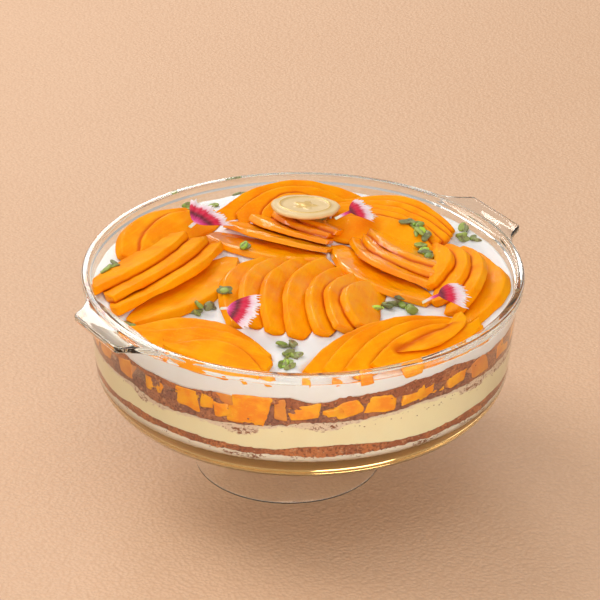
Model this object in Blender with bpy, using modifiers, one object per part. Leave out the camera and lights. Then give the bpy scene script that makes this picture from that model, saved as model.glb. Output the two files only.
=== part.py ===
"""Mango trifle in a clear glass bowl with two lug handles, on a hollow glass foot.

Frame: +Z up, metres. The origin is on the table, on the bowl's axis, and the handles
point along +X and -X. The topping is laid out as it is seen from its serving side,
which is turned from the -Y side by SERVING_TURN.
"""
import math
import random
from dataclasses import dataclass

import bmesh
import bpy
from mathutils import Matrix, Vector

MM = 0.001
GAP = 0.3 * MM              # clearance between pieces that touch
MERGE = 0.01 * MM
STEPS = 40                  # sides of every turned piece
SERVING_TURN = math.radians(-33.6)

# Glass bowl
RIM_R = 115.0 * MM
RIM_Z = 113.6 * MM
LIP_INNER_R = 110.4 * MM
LIP_HEIGHT = 6.1 * MM
WALL_TOP_R = 112.7 * MM
WALL_LOW_R = 108.7 * MM
WALL_TOP = 3.4 * MM
WALL_LOW = 4.8 * MM
UNDERSIDE_Z = 43.8 * MM
FLOOR_Z = 59.0 * MM
OUTER_CORNER_R = 21.0 * MM
INNER_CORNER_R = 4.4 * MM
EDGE_R = 1.4 * MM           # rounding of the lip

# Lug handles
LUG_REACH = 125.2 * MM      # bowl axis to the straight outer edge
LUG_HALF = 20.8 * MM        # half of the straight edge
LUG_ANGLE = math.radians(19)
LUG_THICK = 3.8 * MM
LUG_BELOW_RIM = 0.4 * MM
LUG_ROOT_R = 113.0 * MM
LUG_SWEEP = 11.0 * MM       # how long the side follows the rim before it turns out
LUG_CORNER = 2.4 * MM
LUG_BEVEL = 0.9 * MM

# Glass foot, which stands a little off the bowl's axis
FOOT_OFFSET = (-7.1 * MM, 0.0)
FOOT_LOW_R = 49.6 * MM
FOOT_TOP_R = 46.5 * MM
FOOT_WALL = 3.2 * MM
FOOT_EDGE = 0.8 * MM

# Layers, from the floor up: height of each boundary and how much it waves
BASE_CREAM_TOP = 63.8 * MM
LOWER_SPONGE_TOP = 68.8 * MM
CUSTARD_TOP = 83.4 * MM
MIDDLE_SPONGE_TOP = 88.0 * MM
CUBES_TOP = 96.0 * MM
UPPER_SPONGE_TOP = 98.8 * MM
CREAM_TOP = 103.4 * MM
CREAM_EDGE_TOP = 106.4 * MM
CREAM_EDGE_WIDTH = 2.6 * MM
LAYER_WAVE = 0.7 * MM
CUBES_DENT = 2.4 * MM

# Mango slices
SLICE_LENGTHWISE = 7        # stations along a slice
SLICE_CROSSWISE = 2
SLICE_END = 5.0 * MM        # width of the blunt ends
SLICE_LEAST = 2.5 * MM      # and of a slice that the wall stops
SLICE_DROOP = 0.8 * MM      # how much a slice hangs at DROOP_REACH from its fan's middle
DROOP_REACH = 40.0 * MM
TURN_SHARE = 0.6            # part of the half length where turned slices could meet
SLICE_BASE_Z = CREAM_TOP + 1.8 * MM
TOPPING_R = 104.6 * MM      # the slices stay inside this radius

# Chocolate medallion
MEDALLION_R = 18.4 * MM
MEDALLION_THICK = 2.6 * MM
MEDALLION_RING_R = 14.2 * MM
MEDALLION_RING_WIDTH = 1.2 * MM
MEDALLION_RING_HEIGHT = 0.5 * MM
MEDALLION_PLACE = (1.0 * MM, 62.0 * MM, 119.2 * MM)
MEDALLION_TILT = (math.radians(-8.0), math.radians(2.0))

PETAL_THICK = 0.5 * MM
PETAL_LENGTHWISE = 5
PETAL_CROSSWISE = 4


@dataclass(frozen=True)
class Fan:
    """A row of slices, each leaning on the one before it. Sizes are in millimetres."""

    name: str
    start: tuple            # middle of the first slice's bowed edge, from the serving side
    heading: float          # direction of the first slice's length, degrees
    steps: tuple            # from each bowed edge to the next
    lengths: tuple          # of each slice
    bow: tuple              # how far the outer edge bows, first and last slice
    width: tuple            # across the middle, first and last slice
    thick: float
    turn: float = 0.0       # degrees from one slice to the next
    drift: float = 0.0      # shift along the length from one slice to the next


@dataclass(frozen=True)
class Slice:
    """One slice of a fan, in metres and radians."""

    length: float
    bow: float
    width: float
    thick: float
    lean: float
    foot: float             # from the middle of the bowed edge down to the cream


@dataclass(frozen=True)
class Petal:
    """A single fringed petal. Sizes are in millimetres and degrees."""

    name: str
    claw: tuple             # narrow end, from the serving side
    heading: float
    length: float
    width: float
    claw_length: float
    height: float
    pitch: float
    roll: float
    arch: float


FANS = (
    Fan("back_left", (-90, 55), 60, (9,), (58, 60), (8, 9), (12, 14), 4.0, 0.0, 4.0),
    Fan("left", (-50, -23), -125, (16, 12, 12), (84, 88, 84, 54), (11, 5), (18, 11.5), 3.8, 0.0,
        -1.0),
    Fan("front_left", (-48, -55), -18, (12, 12), (76, 70, 56), (11, 9), (14, 14), 4.6, 0.0, 7.0),
    Fan("middle", (-38, -10), 76, (9, 11, 12, 12, 9, 8.5), (54, 69, 73, 76, 64, 52, 42),
        (9, 7), (14, 13), 3.9, 1.0, -1.5),
    Fan("upper_middle", (-24.5, 23.5), 157, (11.5, 11.5, 9, 8), (62, 58, 46, 36, 24), (7, 4), (14, 12),
        2.6, -6.0, 0.0),
    Fan("back", (-11, 99.5), 12, (8, 7), (68, 52, 20), (10, 7), (11, 8), 3.8),
    Fan("back_right", (57, 80), -30, (6.5, 6.5, 6.5, 6.5), (64, 66, 66, 62, 56), (8, 6),
        (11, 11), 3.2, 0.0, 1.0),
    Fan("right_middle", (28, -4), 128, (13, 9, 8), (72, 60, 54, 40), (11, 7), (17, 11),
        3.0, 0.0, 3.5),
    Fan("right", (103, -7), -96, (8, 8.5, 9), (74, 68, 58, 43), (10, 8), (12, 8.5), 3.7, 1.0,
        -5.5),
    Fan("front_right", (30, -56), 34, (9, 9, 9, 8), (82, 80, 76, 66, 50), (11, 9), (15, 15),
        3.9, 0.0, 5.0),
)

PETALS = (
    Petal("petal_left", (-59, 36.5), 35, 27, 24, 5, 117.6, 4, 10, 2.0),
    Petal("petal_front", (-41, -55), -16, 23, 23, 4, 118.2, 3, 8, 2.0),
    Petal("petal_back", (20, 50), 20, 24, 18, 8, 119.0, 4, 0, 3.0),
    Petal("petal_right", (61, -43), 10, 27, 20, 9, 116.5, 6, 0, 5.0),
)


def served(x, y):
    """Turns a place seen from the serving side into the part's own frame."""
    turned = Matrix.Rotation(SERVING_TURN, 3, "Z") @ Vector((x, y, 0))
    return turned.x, turned.y


def material(name, colour, roughness, metallic=0.0, transmission=0.0):
    """A plain Principled material."""
    made = bpy.data.materials.new(name)
    made.use_nodes = True
    shader = made.node_tree.nodes["Principled BSDF"]
    shader.inputs["Base Color"].default_value = (*colour, 1)
    shader.inputs["Roughness"].default_value = roughness
    shader.inputs["Metallic"].default_value = metallic
    shader.inputs["Transmission Weight"].default_value = transmission
    made.diffuse_color = (*colour, 1)
    return made


def add_object(name, mesh, finish, collection):
    """Puts a mesh in the scene with its own material."""
    made = bpy.data.objects.new(name, mesh)
    if finish is not None:
        mesh.materials.append(finish)
    collection.objects.link(made)
    return made


def arc(centre_r, centre_z, radius, start_deg, end_deg, count):
    """Points of an arc in a turned profile, both ends included."""
    points = []
    for index in range(count + 1):
        angle = math.radians(start_deg + (end_deg - start_deg) * index / count)
        points.append((centre_r + radius * math.cos(angle), centre_z + radius * math.sin(angle)))
    return points


def screw_object(name, profile, closed, finish, collection):
    """A turned piece: an edge profile at +X with a Screw modifier."""
    mesh = bpy.data.meshes.new(name)
    shape = bmesh.new()
    verts = [shape.verts.new((r, 0, z)) for r, z in profile]
    pairs = list(zip(verts, verts[1:]))
    if closed:
        pairs.append((verts[-1], verts[0]))
    for first, second in pairs:
        shape.edges.new((first, second))
    shape.to_mesh(mesh)
    shape.free()
    made = add_object(name, mesh, finish, collection)
    screw = made.modifiers.new("turn", "SCREW")
    screw.steps = STEPS
    screw.render_steps = STEPS
    screw.use_merge_vertices = True
    screw.merge_threshold = MERGE
    screw.use_smooth_shade = True
    return made


def inner_wall_r(z):
    """Radius of the bowl's inner surface at a height above its floor."""
    low_z = FLOOR_Z + INNER_CORNER_R
    low_r = WALL_LOW_R - WALL_LOW
    if z < low_z:
        rise = min(INNER_CORNER_R, low_z - z)
        return low_r - INNER_CORNER_R + math.sqrt(INNER_CORNER_R ** 2 - rise ** 2)
    top_z = RIM_Z - LIP_HEIGHT
    return low_r + (WALL_TOP_R - WALL_TOP - low_r) * (z - low_z) / (top_z - low_z)


def bowl_profile():
    """The bowl's wall, from the middle of its floor over the lip to its underside."""
    low_r = WALL_LOW_R - WALL_LOW
    lip_z = RIM_Z - LIP_HEIGHT
    profile = [(0, FLOOR_Z)]
    profile += arc(low_r - INNER_CORNER_R, FLOOR_Z + INNER_CORNER_R, INNER_CORNER_R, -90, 0, 3)
    profile.append((inner_wall_r(lip_z), lip_z))
    profile += arc(LIP_INNER_R + EDGE_R, RIM_Z - EDGE_R, EDGE_R, 180, 90, 2)
    profile += arc(RIM_R - EDGE_R, RIM_Z - EDGE_R, EDGE_R, 90, 0, 2)
    profile.append((RIM_R, lip_z + EDGE_R))
    profile.append((WALL_TOP_R, lip_z))
    corner_r = WALL_LOW_R - OUTER_CORNER_R
    profile += arc(corner_r, UNDERSIDE_Z + OUTER_CORNER_R, OUTER_CORNER_R, 0, -90, 5)
    profile.append((0, UNDERSIDE_Z))
    return profile


def lug_outline(side):
    """One handle seen from above: splayed sides, a straight outer edge and round corners."""
    root = Vector((math.cos(LUG_ANGLE), math.sin(LUG_ANGLE))) * LUG_ROOT_R
    leave = Vector((math.cos(LUG_ANGLE), math.sin(LUG_ANGLE))) * RIM_R
    bend = leave + Vector((math.sin(LUG_ANGLE), -math.cos(LUG_ANGLE))) * LUG_SWEEP
    corner = Vector((LUG_REACH, LUG_HALF))
    half = [root]
    for index in range(5):
        t = index / 5
        half.append(leave * (1 - t) ** 2 + bend * 2 * t * (1 - t) + corner * t ** 2)
    towards = (bend - corner).normalized()
    half.append(corner + towards * LUG_CORNER)
    half.append(corner + (towards + Vector((0, -1))) * LUG_CORNER * 0.3)
    half.append(corner + Vector((0, -LUG_CORNER)))
    whole = half + [Vector((p.x, -p.y)) for p in reversed(half)]
    return [(side * p.x, side * p.y) for p in whole]


def plate_mesh(name, outlines, z_low, thick, bevel, collection):
    """Flat plates from closed outlines, as one mesh with bevelled edges."""
    curve = bpy.data.curves.new(name, "CURVE")
    curve.dimensions = "2D"
    curve.fill_mode = "BOTH"
    curve.extrude = thick / 2
    for outline in outlines:
        spline = curve.splines.new("POLY")
        spline.points.add(len(outline) - 1)
        for point, (x, y) in zip(spline.points, outline):
            point.co = (x, y, 0, 1)
        spline.use_cyclic_u = True
    drawn = bpy.data.objects.new(name + "_outline", curve)
    drawn.location.z = z_low + thick / 2
    collection.objects.link(drawn)
    bpy.context.view_layer.update()
    evaluated = drawn.evaluated_get(bpy.context.evaluated_depsgraph_get())
    mesh = bpy.data.meshes.new_from_object(evaluated)
    mesh.transform(drawn.matrix_world)
    bpy.data.objects.remove(drawn)
    shape = bmesh.new()
    shape.from_mesh(mesh)
    bmesh.ops.remove_doubles(shape, verts=shape.verts, dist=MERGE)
    bmesh.ops.dissolve_limit(shape, angle_limit=math.radians(1), verts=shape.verts,
                             edges=shape.edges)
    rims = [edge for edge in shape.edges if edge.calc_face_angle(0) > math.radians(60)
            and abs(edge.verts[0].co.z - edge.verts[1].co.z) < MERGE]
    bmesh.ops.bevel(shape, geom=rims, offset=bevel, segments=1, profile=0.5, material=-1,
                    affect="EDGES")
    bmesh.ops.triangulate(shape, faces=shape.faces)
    shape.to_mesh(mesh)
    shape.free()
    return mesh


def cutter(name, mesh, collection):
    """A mesh that only shapes another piece."""
    made = add_object(name, mesh, None, collection)
    made.hide_render = True
    made.display_type = "WIRE"
    return made


def build_bowl(parts, cutters):
    """The bowl with both handles as one piece of glass."""
    glass = material("clear_glass", (0.86, 0.9, 0.87), 0.03, transmission=1.0)
    bowl = screw_object("glass_bowl", bowl_profile(), False, glass, parts)
    lug_z = RIM_Z - LUG_BELOW_RIM - LUG_THICK
    outlines = [lug_outline(1), lug_outline(-1)]
    lugs = plate_mesh("lug_handles", outlines, lug_z, LUG_THICK, LUG_BEVEL, cutters)
    union = bowl.modifiers.new("handles", "BOOLEAN")
    union.operation = "UNION"
    union.solver = "EXACT"
    union.object = cutter("lug_handles", lugs, cutters)


def build_foot(parts):
    """The hollow foot: a ring of glass that flares to the table and is open below."""
    glass = material("foot_glass", (0.86, 0.88, 0.86), 0.03, transmission=1.0)
    top_z = UNDERSIDE_Z - GAP
    wall = FOOT_WALL
    profile = arc(FOOT_TOP_R - FOOT_EDGE, top_z - FOOT_EDGE, FOOT_EDGE, 90, 0, 1)
    profile += arc(FOOT_LOW_R - FOOT_EDGE, FOOT_EDGE, FOOT_EDGE, 0, -90, 2)
    profile += arc(FOOT_LOW_R - wall + FOOT_EDGE, FOOT_EDGE, FOOT_EDGE, -90, -180, 2)
    profile += arc(FOOT_TOP_R - wall + FOOT_EDGE, top_z - FOOT_EDGE, FOOT_EDGE, 180, 90, 1)
    foot = screw_object("glass_foot", profile, True, glass, parts)
    foot.location = (*served(*FOOT_OFFSET), 0)


def layer_wave(seed, height):
    """A gentle wave for one boundary, which fades to nothing at the axis."""
    dice = random.Random(seed)
    terms = [(count, dice.uniform(0.3, 1.0), dice.uniform(0, math.tau)) for count in (2, 5, 9)]
    total = sum(size for _, size, _ in terms)

    def offset(angle, reach):
        wave = sum(size * math.sin(count * angle + phase) for count, size, phase in terms)
        return height * reach ** 2 * wave / total

    return offset


def turned_layer(name, upper, side, lower, finish, parts, dents=0.0):
    """One layer of the trifle, from axis to wall.

    upper and lower are (profile points, wave); side is the points between them. A layer
    with dents is pulled in from the wall here and there.
    """
    profile = list(upper[0]) + list(side) + list(lower[0])
    shape = bmesh.new()
    tags = shape.verts.layers.int.new("boundary")
    verts = [shape.verts.new((r, 0, z)) for r, z in profile]
    edges = [shape.edges.new(pair) for pair in zip(verts, verts[1:])]
    for index, vert in enumerate(verts):
        if index < len(upper[0]):
            vert[tags] = 1
        elif index >= len(profile) - len(lower[0]):
            vert[tags] = 2
    bmesh.ops.spin(shape, geom=verts + edges, cent=(0, 0, 0), axis=(0, 0, 1), angle=math.tau,
                   steps=STEPS, use_merge=True)
    bmesh.ops.remove_doubles(shape, verts=shape.verts, dist=MERGE)
    bmesh.ops.recalc_face_normals(shape, faces=shape.faces)
    reach_r = profile[len(upper[0]) - 1][0]
    for vert in shape.verts:
        angle = math.atan2(vert.co.y, vert.co.x)
        reach = math.hypot(vert.co.x, vert.co.y) / reach_r
        if vert[tags]:
            wave = upper[1] if vert[tags] == 1 else lower[1]
            vert.co.z += wave(angle, reach)
        if dents and reach > 0.9:
            pull = dents * (0.5 + 0.5 * math.sin(13 * angle) * math.cos(5 * angle + 1))
            vert.co.xy *= 1 - pull / reach_r
    mesh = bpy.data.meshes.new(name)
    shape.to_mesh(mesh)
    shape.free()
    mesh.shade_smooth()
    mesh.set_sharp_from_angle(angle=math.radians(50))
    add_object(name, mesh, finish, parts)


def flat_boundary(z, outward, clearance=GAP):
    """Profile points of a level boundary, which the wave then moves."""
    edge = inner_wall_r(z) - clearance
    points = [(0, z), (edge * 0.62, z), (edge, z)]
    return points if outward else points[::-1]


def build_layers(parts):
    """Everything in the bowl under the slices, from the base cream to the whipped cream."""
    cream = material("whipped_cream", (0.86, 0.83, 0.78), 0.5)
    sponge = material("sponge", (0.42, 0.17, 0.08), 0.85)
    custard = material("custard", (0.83, 0.71, 0.4), 0.45)
    cubes = material("mango_cubes", (0.95, 0.4, 0.02), 0.4)
    level = (
        (BASE_CREAM_TOP, layer_wave(1, LAYER_WAVE)),
        (LOWER_SPONGE_TOP, layer_wave(2, LAYER_WAVE)),
        (CUSTARD_TOP, layer_wave(3, LAYER_WAVE * 0.6)),
        (MIDDLE_SPONGE_TOP, layer_wave(4, LAYER_WAVE)),
        (CUBES_TOP, layer_wave(5, LAYER_WAVE * 1.4)),
        (UPPER_SPONGE_TOP, layer_wave(6, LAYER_WAVE)),
    )
    still = layer_wave(0, 0.0)
    corner_r = WALL_LOW_R - WALL_LOW - INNER_CORNER_R
    corner_z = FLOOR_Z + INNER_CORNER_R
    corner = arc(corner_r, corner_z, INNER_CORNER_R - GAP, -30, -90, 2)
    floor = (((0, FLOOR_Z + GAP),), still)
    top_z, top_wave = level[0]
    turned_layer("base_cream", (flat_boundary(top_z - GAP / 2, True, 3 * GAP), top_wave), corner, floor,
                 cream, parts)
    middle = (
        ("lower_sponge", sponge, 0.0),
        ("custard", custard, 0.0),
        ("middle_sponge", sponge.copy(), 0.0),
        ("mango_cubes", cubes, CUBES_DENT),
        ("upper_sponge", sponge.copy(), 0.0),
    )
    for (name, finish, dents), (low, high) in zip(middle, zip(level, level[1:])):
        upper = (flat_boundary(high[0] - GAP / 2, True), high[1])
        lower = (flat_boundary(low[0] + GAP / 2, False), low[1])
        turned_layer(name, upper, (), lower, finish, parts, dents)
    edge_r = inner_wall_r(CREAM_EDGE_TOP) - GAP
    top = [(0, CREAM_TOP), (edge_r * 0.62, CREAM_TOP), (edge_r - CREAM_EDGE_WIDTH, CREAM_TOP)]
    edge = [(edge_r - CREAM_EDGE_WIDTH * 0.7, CREAM_EDGE_TOP), (edge_r, CREAM_EDGE_TOP)]
    low_z, low_wave = level[-1]
    lower = (flat_boundary(low_z + GAP / 2, False), low_wave)
    turned_layer("whipped_cream", (top, layer_wave(7, LAYER_WAVE * 0.6)), edge, lower,
                 cream.copy(), parts)


def fan_lean(fan):
    """The lean of a fan's slices, at which each just clears the one below it."""
    turn_room = TURN_SHARE * max(fan.lengths) / 2 * math.sin(math.radians(abs(fan.turn)))
    return math.asin((fan.thick * MM + GAP) / ((min(fan.steps) - turn_room) * MM))


def between(ends, index, count):
    """A size that changes evenly from the first slice of a fan to its last."""
    if count < 2:
        return ends[0]
    return ends[0] + (ends[1] - ends[0]) * index / (count - 1)


def slice_mesh(name, cut, place, heading, shift):
    """The upper face of one slice: a half-moon that leans down from its bowed edge.

    place is the middle of its bowed edge, and shift is how far along its length it lies
    from its fan's middle.
    """
    grid = bmesh.new()
    bmesh.ops.create_grid(grid, x_segments=SLICE_LENGTHWISE, y_segments=SLICE_CROSSWISE, size=1)
    along = Vector((math.cos(heading), math.sin(heading), 0))
    across = Vector((math.sin(heading), -math.cos(heading), 0))
    centre = Vector((*place, 0))
    sunk = cut.thick * math.sin(cut.lean)
    low = cut.foot * math.cos(cut.lean) + sunk
    for vert in grid.verts:
        a = vert.co.x
        b = (1 - vert.co.y) / 2
        fullness = 1 - a * a
        wide = SLICE_END + (cut.width - SLICE_END) * fullness ** 0.6
        u = a * cut.length / 2
        point = centre + along * u + across * (cut.bow * (1 - fullness) * math.cos(cut.lean) + sunk)
        if point.length > TOPPING_R - SLICE_LEAST:
            point *= (TOPPING_R - SLICE_LEAST) / point.length
        inwards = point.dot(across)
        room = math.sqrt(inwards ** 2 - point.length ** 2 + TOPPING_R ** 2) - inwards
        point += across * min(wide * math.cos(cut.lean), room) * b - along * u * 0.05 * b
        if point.length > TOPPING_R:
            point *= TOPPING_R / point.length
        u = (point - centre).dot(along) + shift
        v = (point - centre).dot(across)
        rise = (low - v) * math.tan(cut.lean) - SLICE_DROOP * (u / DROOP_REACH) ** 2
        vert.co = point + Vector((0, 0, SLICE_BASE_Z + cut.thick * math.cos(cut.lean) + rise))
    bmesh.ops.recalc_face_normals(grid, faces=grid.faces)
    if next(iter(grid.faces)).normal.z < 0:
        bmesh.ops.reverse_faces(grid, faces=grid.faces)
    mesh = bpy.data.meshes.new(name)
    grid.to_mesh(mesh)
    grid.free()
    return mesh


def build_fan(fan, parts):
    """All slices of one fan, from the one at the bottom to the one on top."""
    flesh = material("mango_" + fan.name, (0.95, 0.38, 0.01), 0.35)
    count = len(fan.lengths)
    centre = Vector(fan.start) * MM
    lean = fan_lean(fan)
    foot = max(*fan.width, max(fan.bow) + SLICE_END / MM) * MM
    for index, length in enumerate(fan.lengths):
        heading = math.radians(fan.heading + fan.turn * index)
        bow = between(fan.bow, index, count) * MM
        width = between(fan.width, index, count) * MM
        if index:
            centre += Vector((math.sin(heading), -math.cos(heading))) * fan.steps[index - 1] * MM
            centre += Vector((math.cos(heading), math.sin(heading))) * fan.drift * MM
        name = f"mango_{fan.name}_{index + 1}"
        shape = Slice(length * MM, bow, width, fan.thick * MM, lean, foot)
        mesh = slice_mesh(name, shape, served(*centre), heading + SERVING_TURN,
                          fan.drift * index * MM)
        made = add_object(name, mesh, flesh, parts)
        slab = made.modifiers.new("thickness", "SOLIDIFY")
        slab.thickness = fan.thick * MM
        slab.offset = -1


def build_medallion(parts):
    """The chocolate medallion: a disc with a raised ring near its edge, plain inside."""
    finish = material("gold_chocolate", (0.78, 0.6, 0.34), 0.35)
    inner = MEDALLION_RING_R - MEDALLION_RING_WIDTH
    profile = [(0, 0), (inner, 0), (MEDALLION_RING_R - MEDALLION_RING_WIDTH / 2,
                                     MEDALLION_RING_HEIGHT), (MEDALLION_RING_R, 0)]
    profile += arc(MEDALLION_R - 1.1 * MM, -1.1 * MM, 1.1 * MM, 90, -30, 3)
    profile += [(MEDALLION_R - 1.2 * MM, -MEDALLION_THICK), (0, -MEDALLION_THICK)]
    medallion = screw_object("chocolate_medallion", profile, False, finish, parts)
    x, y, z = MEDALLION_PLACE
    medallion.location = (*served(x, y), z)
    medallion.rotation_euler = (*MEDALLION_TILT, SERVING_TURN)


def petal_mesh(petal):
    """A petal: a narrow claw that opens into a fan-shaped blade."""
    shape = bmesh.new()
    bmesh.ops.create_grid(shape, x_segments=PETAL_LENGTHWISE, y_segments=PETAL_CROSSWISE, size=1)
    length = petal.length * MM
    claw = petal.claw_length / petal.length
    for vert in shape.verts:
        t = (vert.co.x + 1) / 2
        side = vert.co.y
        opened = max(0.0, (t - claw) / (1 - claw))
        half = (0.9 + opened ** 0.75 * (petal.width / 2 - 0.9)) * MM
        back = length * 0.16 * side * side * opened
        cup = petal.arch * MM * (math.sin(math.pi * t) - 0.5 * side * side * opened)
        vert.co = Vector((length * t - back, half * side, cup))
    bmesh.ops.recalc_face_normals(shape, faces=shape.faces)
    if next(iter(shape.faces)).normal.z < 0:
        bmesh.ops.reverse_faces(shape, faces=shape.faces)
    mesh = bpy.data.meshes.new(petal.name)
    shape.to_mesh(mesh)
    shape.free()
    return mesh


def build_petals(parts):
    """Four single petals laid on the slices."""
    for petal in PETALS:
        finish = material(petal.name, (0.75, 0.05, 0.16), 0.6)
        made = add_object(petal.name, petal_mesh(petal), finish, parts)
        x, y = petal.claw
        made.location = (*served(x * MM, y * MM), petal.height * MM)
        heading = math.radians(petal.heading) + SERVING_TURN
        made.rotation_euler = (math.radians(petal.roll), -math.radians(petal.pitch), heading)
        blade = made.modifiers.new("thickness", "SOLIDIFY")
        blade.thickness = PETAL_THICK
        blade.offset = -1


def main():
    """Clears the scene and builds every piece."""
    for old in list(bpy.data.objects):
        bpy.data.objects.remove(old)
    parts = bpy.data.collections.new("mango_trifle")
    cutters = bpy.data.collections.new("cutters")
    for collection in (parts, cutters):
        bpy.context.scene.collection.children.link(collection)
    build_bowl(parts, cutters)
    build_foot(parts)
    build_layers(parts)
    for fan in FANS:
        build_fan(fan, parts)
    build_medallion(parts)
    build_petals(parts)


main()
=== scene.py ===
"""A mango trifle in a clear glass bowl with two lug handles, on a hollow glass foot.

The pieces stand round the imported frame: +Z up, metres, the origin on the table on the
bowl's axis, and the handles along +X and -X. The topping is laid out as it is served,
from a side that is turned by SERVING_TURN from the -Y side.
"""
import logging
import math
import random
from dataclasses import dataclass
from enum import Enum
from typing import Any, Sequence

import bmesh
import bpy
import numpy as np
from mathutils import Euler, Matrix, Vector
from mathutils.bvhtree import BVHTree


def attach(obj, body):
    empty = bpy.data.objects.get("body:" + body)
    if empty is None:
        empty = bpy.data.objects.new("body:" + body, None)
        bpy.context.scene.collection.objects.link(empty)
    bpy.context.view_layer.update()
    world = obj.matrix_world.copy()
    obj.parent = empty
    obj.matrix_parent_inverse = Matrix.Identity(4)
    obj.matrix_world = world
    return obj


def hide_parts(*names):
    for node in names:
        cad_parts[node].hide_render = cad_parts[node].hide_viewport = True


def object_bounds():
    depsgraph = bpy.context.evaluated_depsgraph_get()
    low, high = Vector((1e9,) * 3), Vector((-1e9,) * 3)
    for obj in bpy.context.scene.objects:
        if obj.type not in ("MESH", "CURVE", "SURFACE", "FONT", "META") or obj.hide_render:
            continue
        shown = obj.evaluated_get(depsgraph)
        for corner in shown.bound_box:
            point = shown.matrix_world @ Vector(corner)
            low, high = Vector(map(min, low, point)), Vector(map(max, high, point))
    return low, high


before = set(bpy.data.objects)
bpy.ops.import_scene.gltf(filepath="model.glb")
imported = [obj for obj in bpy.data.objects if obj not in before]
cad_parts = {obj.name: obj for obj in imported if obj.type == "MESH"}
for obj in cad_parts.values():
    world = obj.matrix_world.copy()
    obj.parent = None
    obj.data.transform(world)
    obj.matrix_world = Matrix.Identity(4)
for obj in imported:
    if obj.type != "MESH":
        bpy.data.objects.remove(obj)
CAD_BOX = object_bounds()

LOG = logging.getLogger("trifle")
MM = 0.001
SERVING_TURN = math.radians(-33.6)
ROOT = "root"

# The bowl's sizes, as the frame has them
RIM_R = 115.0 * MM
RIM_Z = 113.6 * MM
LIP_INNER_R = 110.4 * MM
LIP_HEIGHT = 6.1 * MM
WALL_TOP_R = 112.7 * MM
WALL_LOW_R = 108.7 * MM
WALL_TOP = 3.4 * MM
WALL_LOW = 4.8 * MM
UNDERSIDE_Z = 43.8 * MM
FLOOR_Z = 59.0 * MM
OUTER_CORNER_R = 21.0 * MM
INNER_CORNER_R = 4.4 * MM
EDGE_R = 1.4 * MM

Colour = tuple[float, float, float]


def srgb(red: int, green: int, blue: int) -> Colour:
    """A colour given as three numbers to 255, in scene linear values."""
    shares = (value / 255 for value in (red, green, blue))
    return tuple(s / 12.92 if s <= 0.04045 else ((s + 0.055) / 1.055) ** 2.4 for s in shares)


def served(x: float, y: float, z: float = 0.0) -> Vector:
    """A place in millimetres, as seen from the serving side, in the part's own frame."""
    return Matrix.Rotation(SERVING_TURN, 3, "Z") @ (Vector((x, y, z)) * MM)


def serving_angle(points: np.ndarray) -> np.ndarray:
    """How far round the bowl points lie from the middle of the serving side, to its right."""
    angle = turns_of(points) + math.pi / 2 - SERVING_TURN
    return (angle + math.pi) % math.tau - math.pi


def smooth_step(low: float, high: float, value: np.ndarray) -> np.ndarray:
    """Rises smoothly from 0 at low to 1 at high."""
    share = np.clip((value - low) / (high - low), 0, 1)
    return share * share * (3 - 2 * share)


def inner_wall_r(z: np.ndarray) -> np.ndarray:
    """Radius of the bowl's inner surface at heights above its floor.

    Args:
        z: heights above the table, in metres.

    Returns:
        A radius for each height, in metres.
    """
    low_z = FLOOR_Z + INNER_CORNER_R
    low_r = WALL_LOW_R - WALL_LOW
    top_z = RIM_Z - LIP_HEIGHT
    rise = np.clip(low_z - z, 0, INNER_CORNER_R)
    corner = low_r - INNER_CORNER_R + np.sqrt(INNER_CORNER_R ** 2 - rise ** 2)
    wall = low_r + (WALL_TOP_R - WALL_TOP - low_r) * (z - low_z) / (top_z - low_z)
    return np.where(z < low_z, corner, wall)


def polar(r: np.ndarray, turn: np.ndarray, z: np.ndarray) -> np.ndarray:
    """Points at radii, turns about the axis and heights, one row each."""
    return np.column_stack((r * np.cos(turn), r * np.sin(turn), z))


def radii(points: np.ndarray) -> np.ndarray:
    """How far points are from the axis."""
    return np.hypot(points[:, 0], points[:, 1])


def turns_of(points: np.ndarray) -> np.ndarray:
    """Which way points lie from the axis, in radians from +X."""
    return np.arctan2(points[:, 1], points[:, 0])


def hold_in(points: np.ndarray, most: np.ndarray) -> None:
    """Draws points in towards the axis, to a radius of at most."""
    points[:, :2] *= np.minimum(1, most / radii(points))[:, None]


def lie_of(points: np.ndarray) -> tuple[np.ndarray, np.ndarray]:
    """Points from above, about their middle, and their short and long directions."""
    flat = points[:, :2] - points[:, :2].mean(0)
    return flat, np.linalg.eigh(flat.T @ flat)[1]


class Relief:
    """Smooth seeded noise over points, made of waves that run in all directions."""

    WAVES = 28

    def __init__(self, seed: int, size: float) -> None:
        """Chooses the waves.

        Args:
            seed: chooses the pattern.
            size: the usual width of a bump, in metres.
        """
        dice = np.random.default_rng(seed)
        ways = dice.normal(size=(self.WAVES, 3))
        ways /= np.linalg.norm(ways, axis=1)[:, None]
        self.ways = ways * (math.pi / size) * dice.uniform(0.5, 1.5, (self.WAVES, 1))
        self.phases = dice.uniform(0, math.tau, self.WAVES)

    def __call__(self, points: np.ndarray) -> np.ndarray:
        """The noise at each point, mostly between -1 and 1."""
        waves = np.cos(points @ self.ways.T + self.phases)
        return waves.sum(1) / math.sqrt(self.WAVES)


# ---------------------------------------------------------------- shader maths


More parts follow.
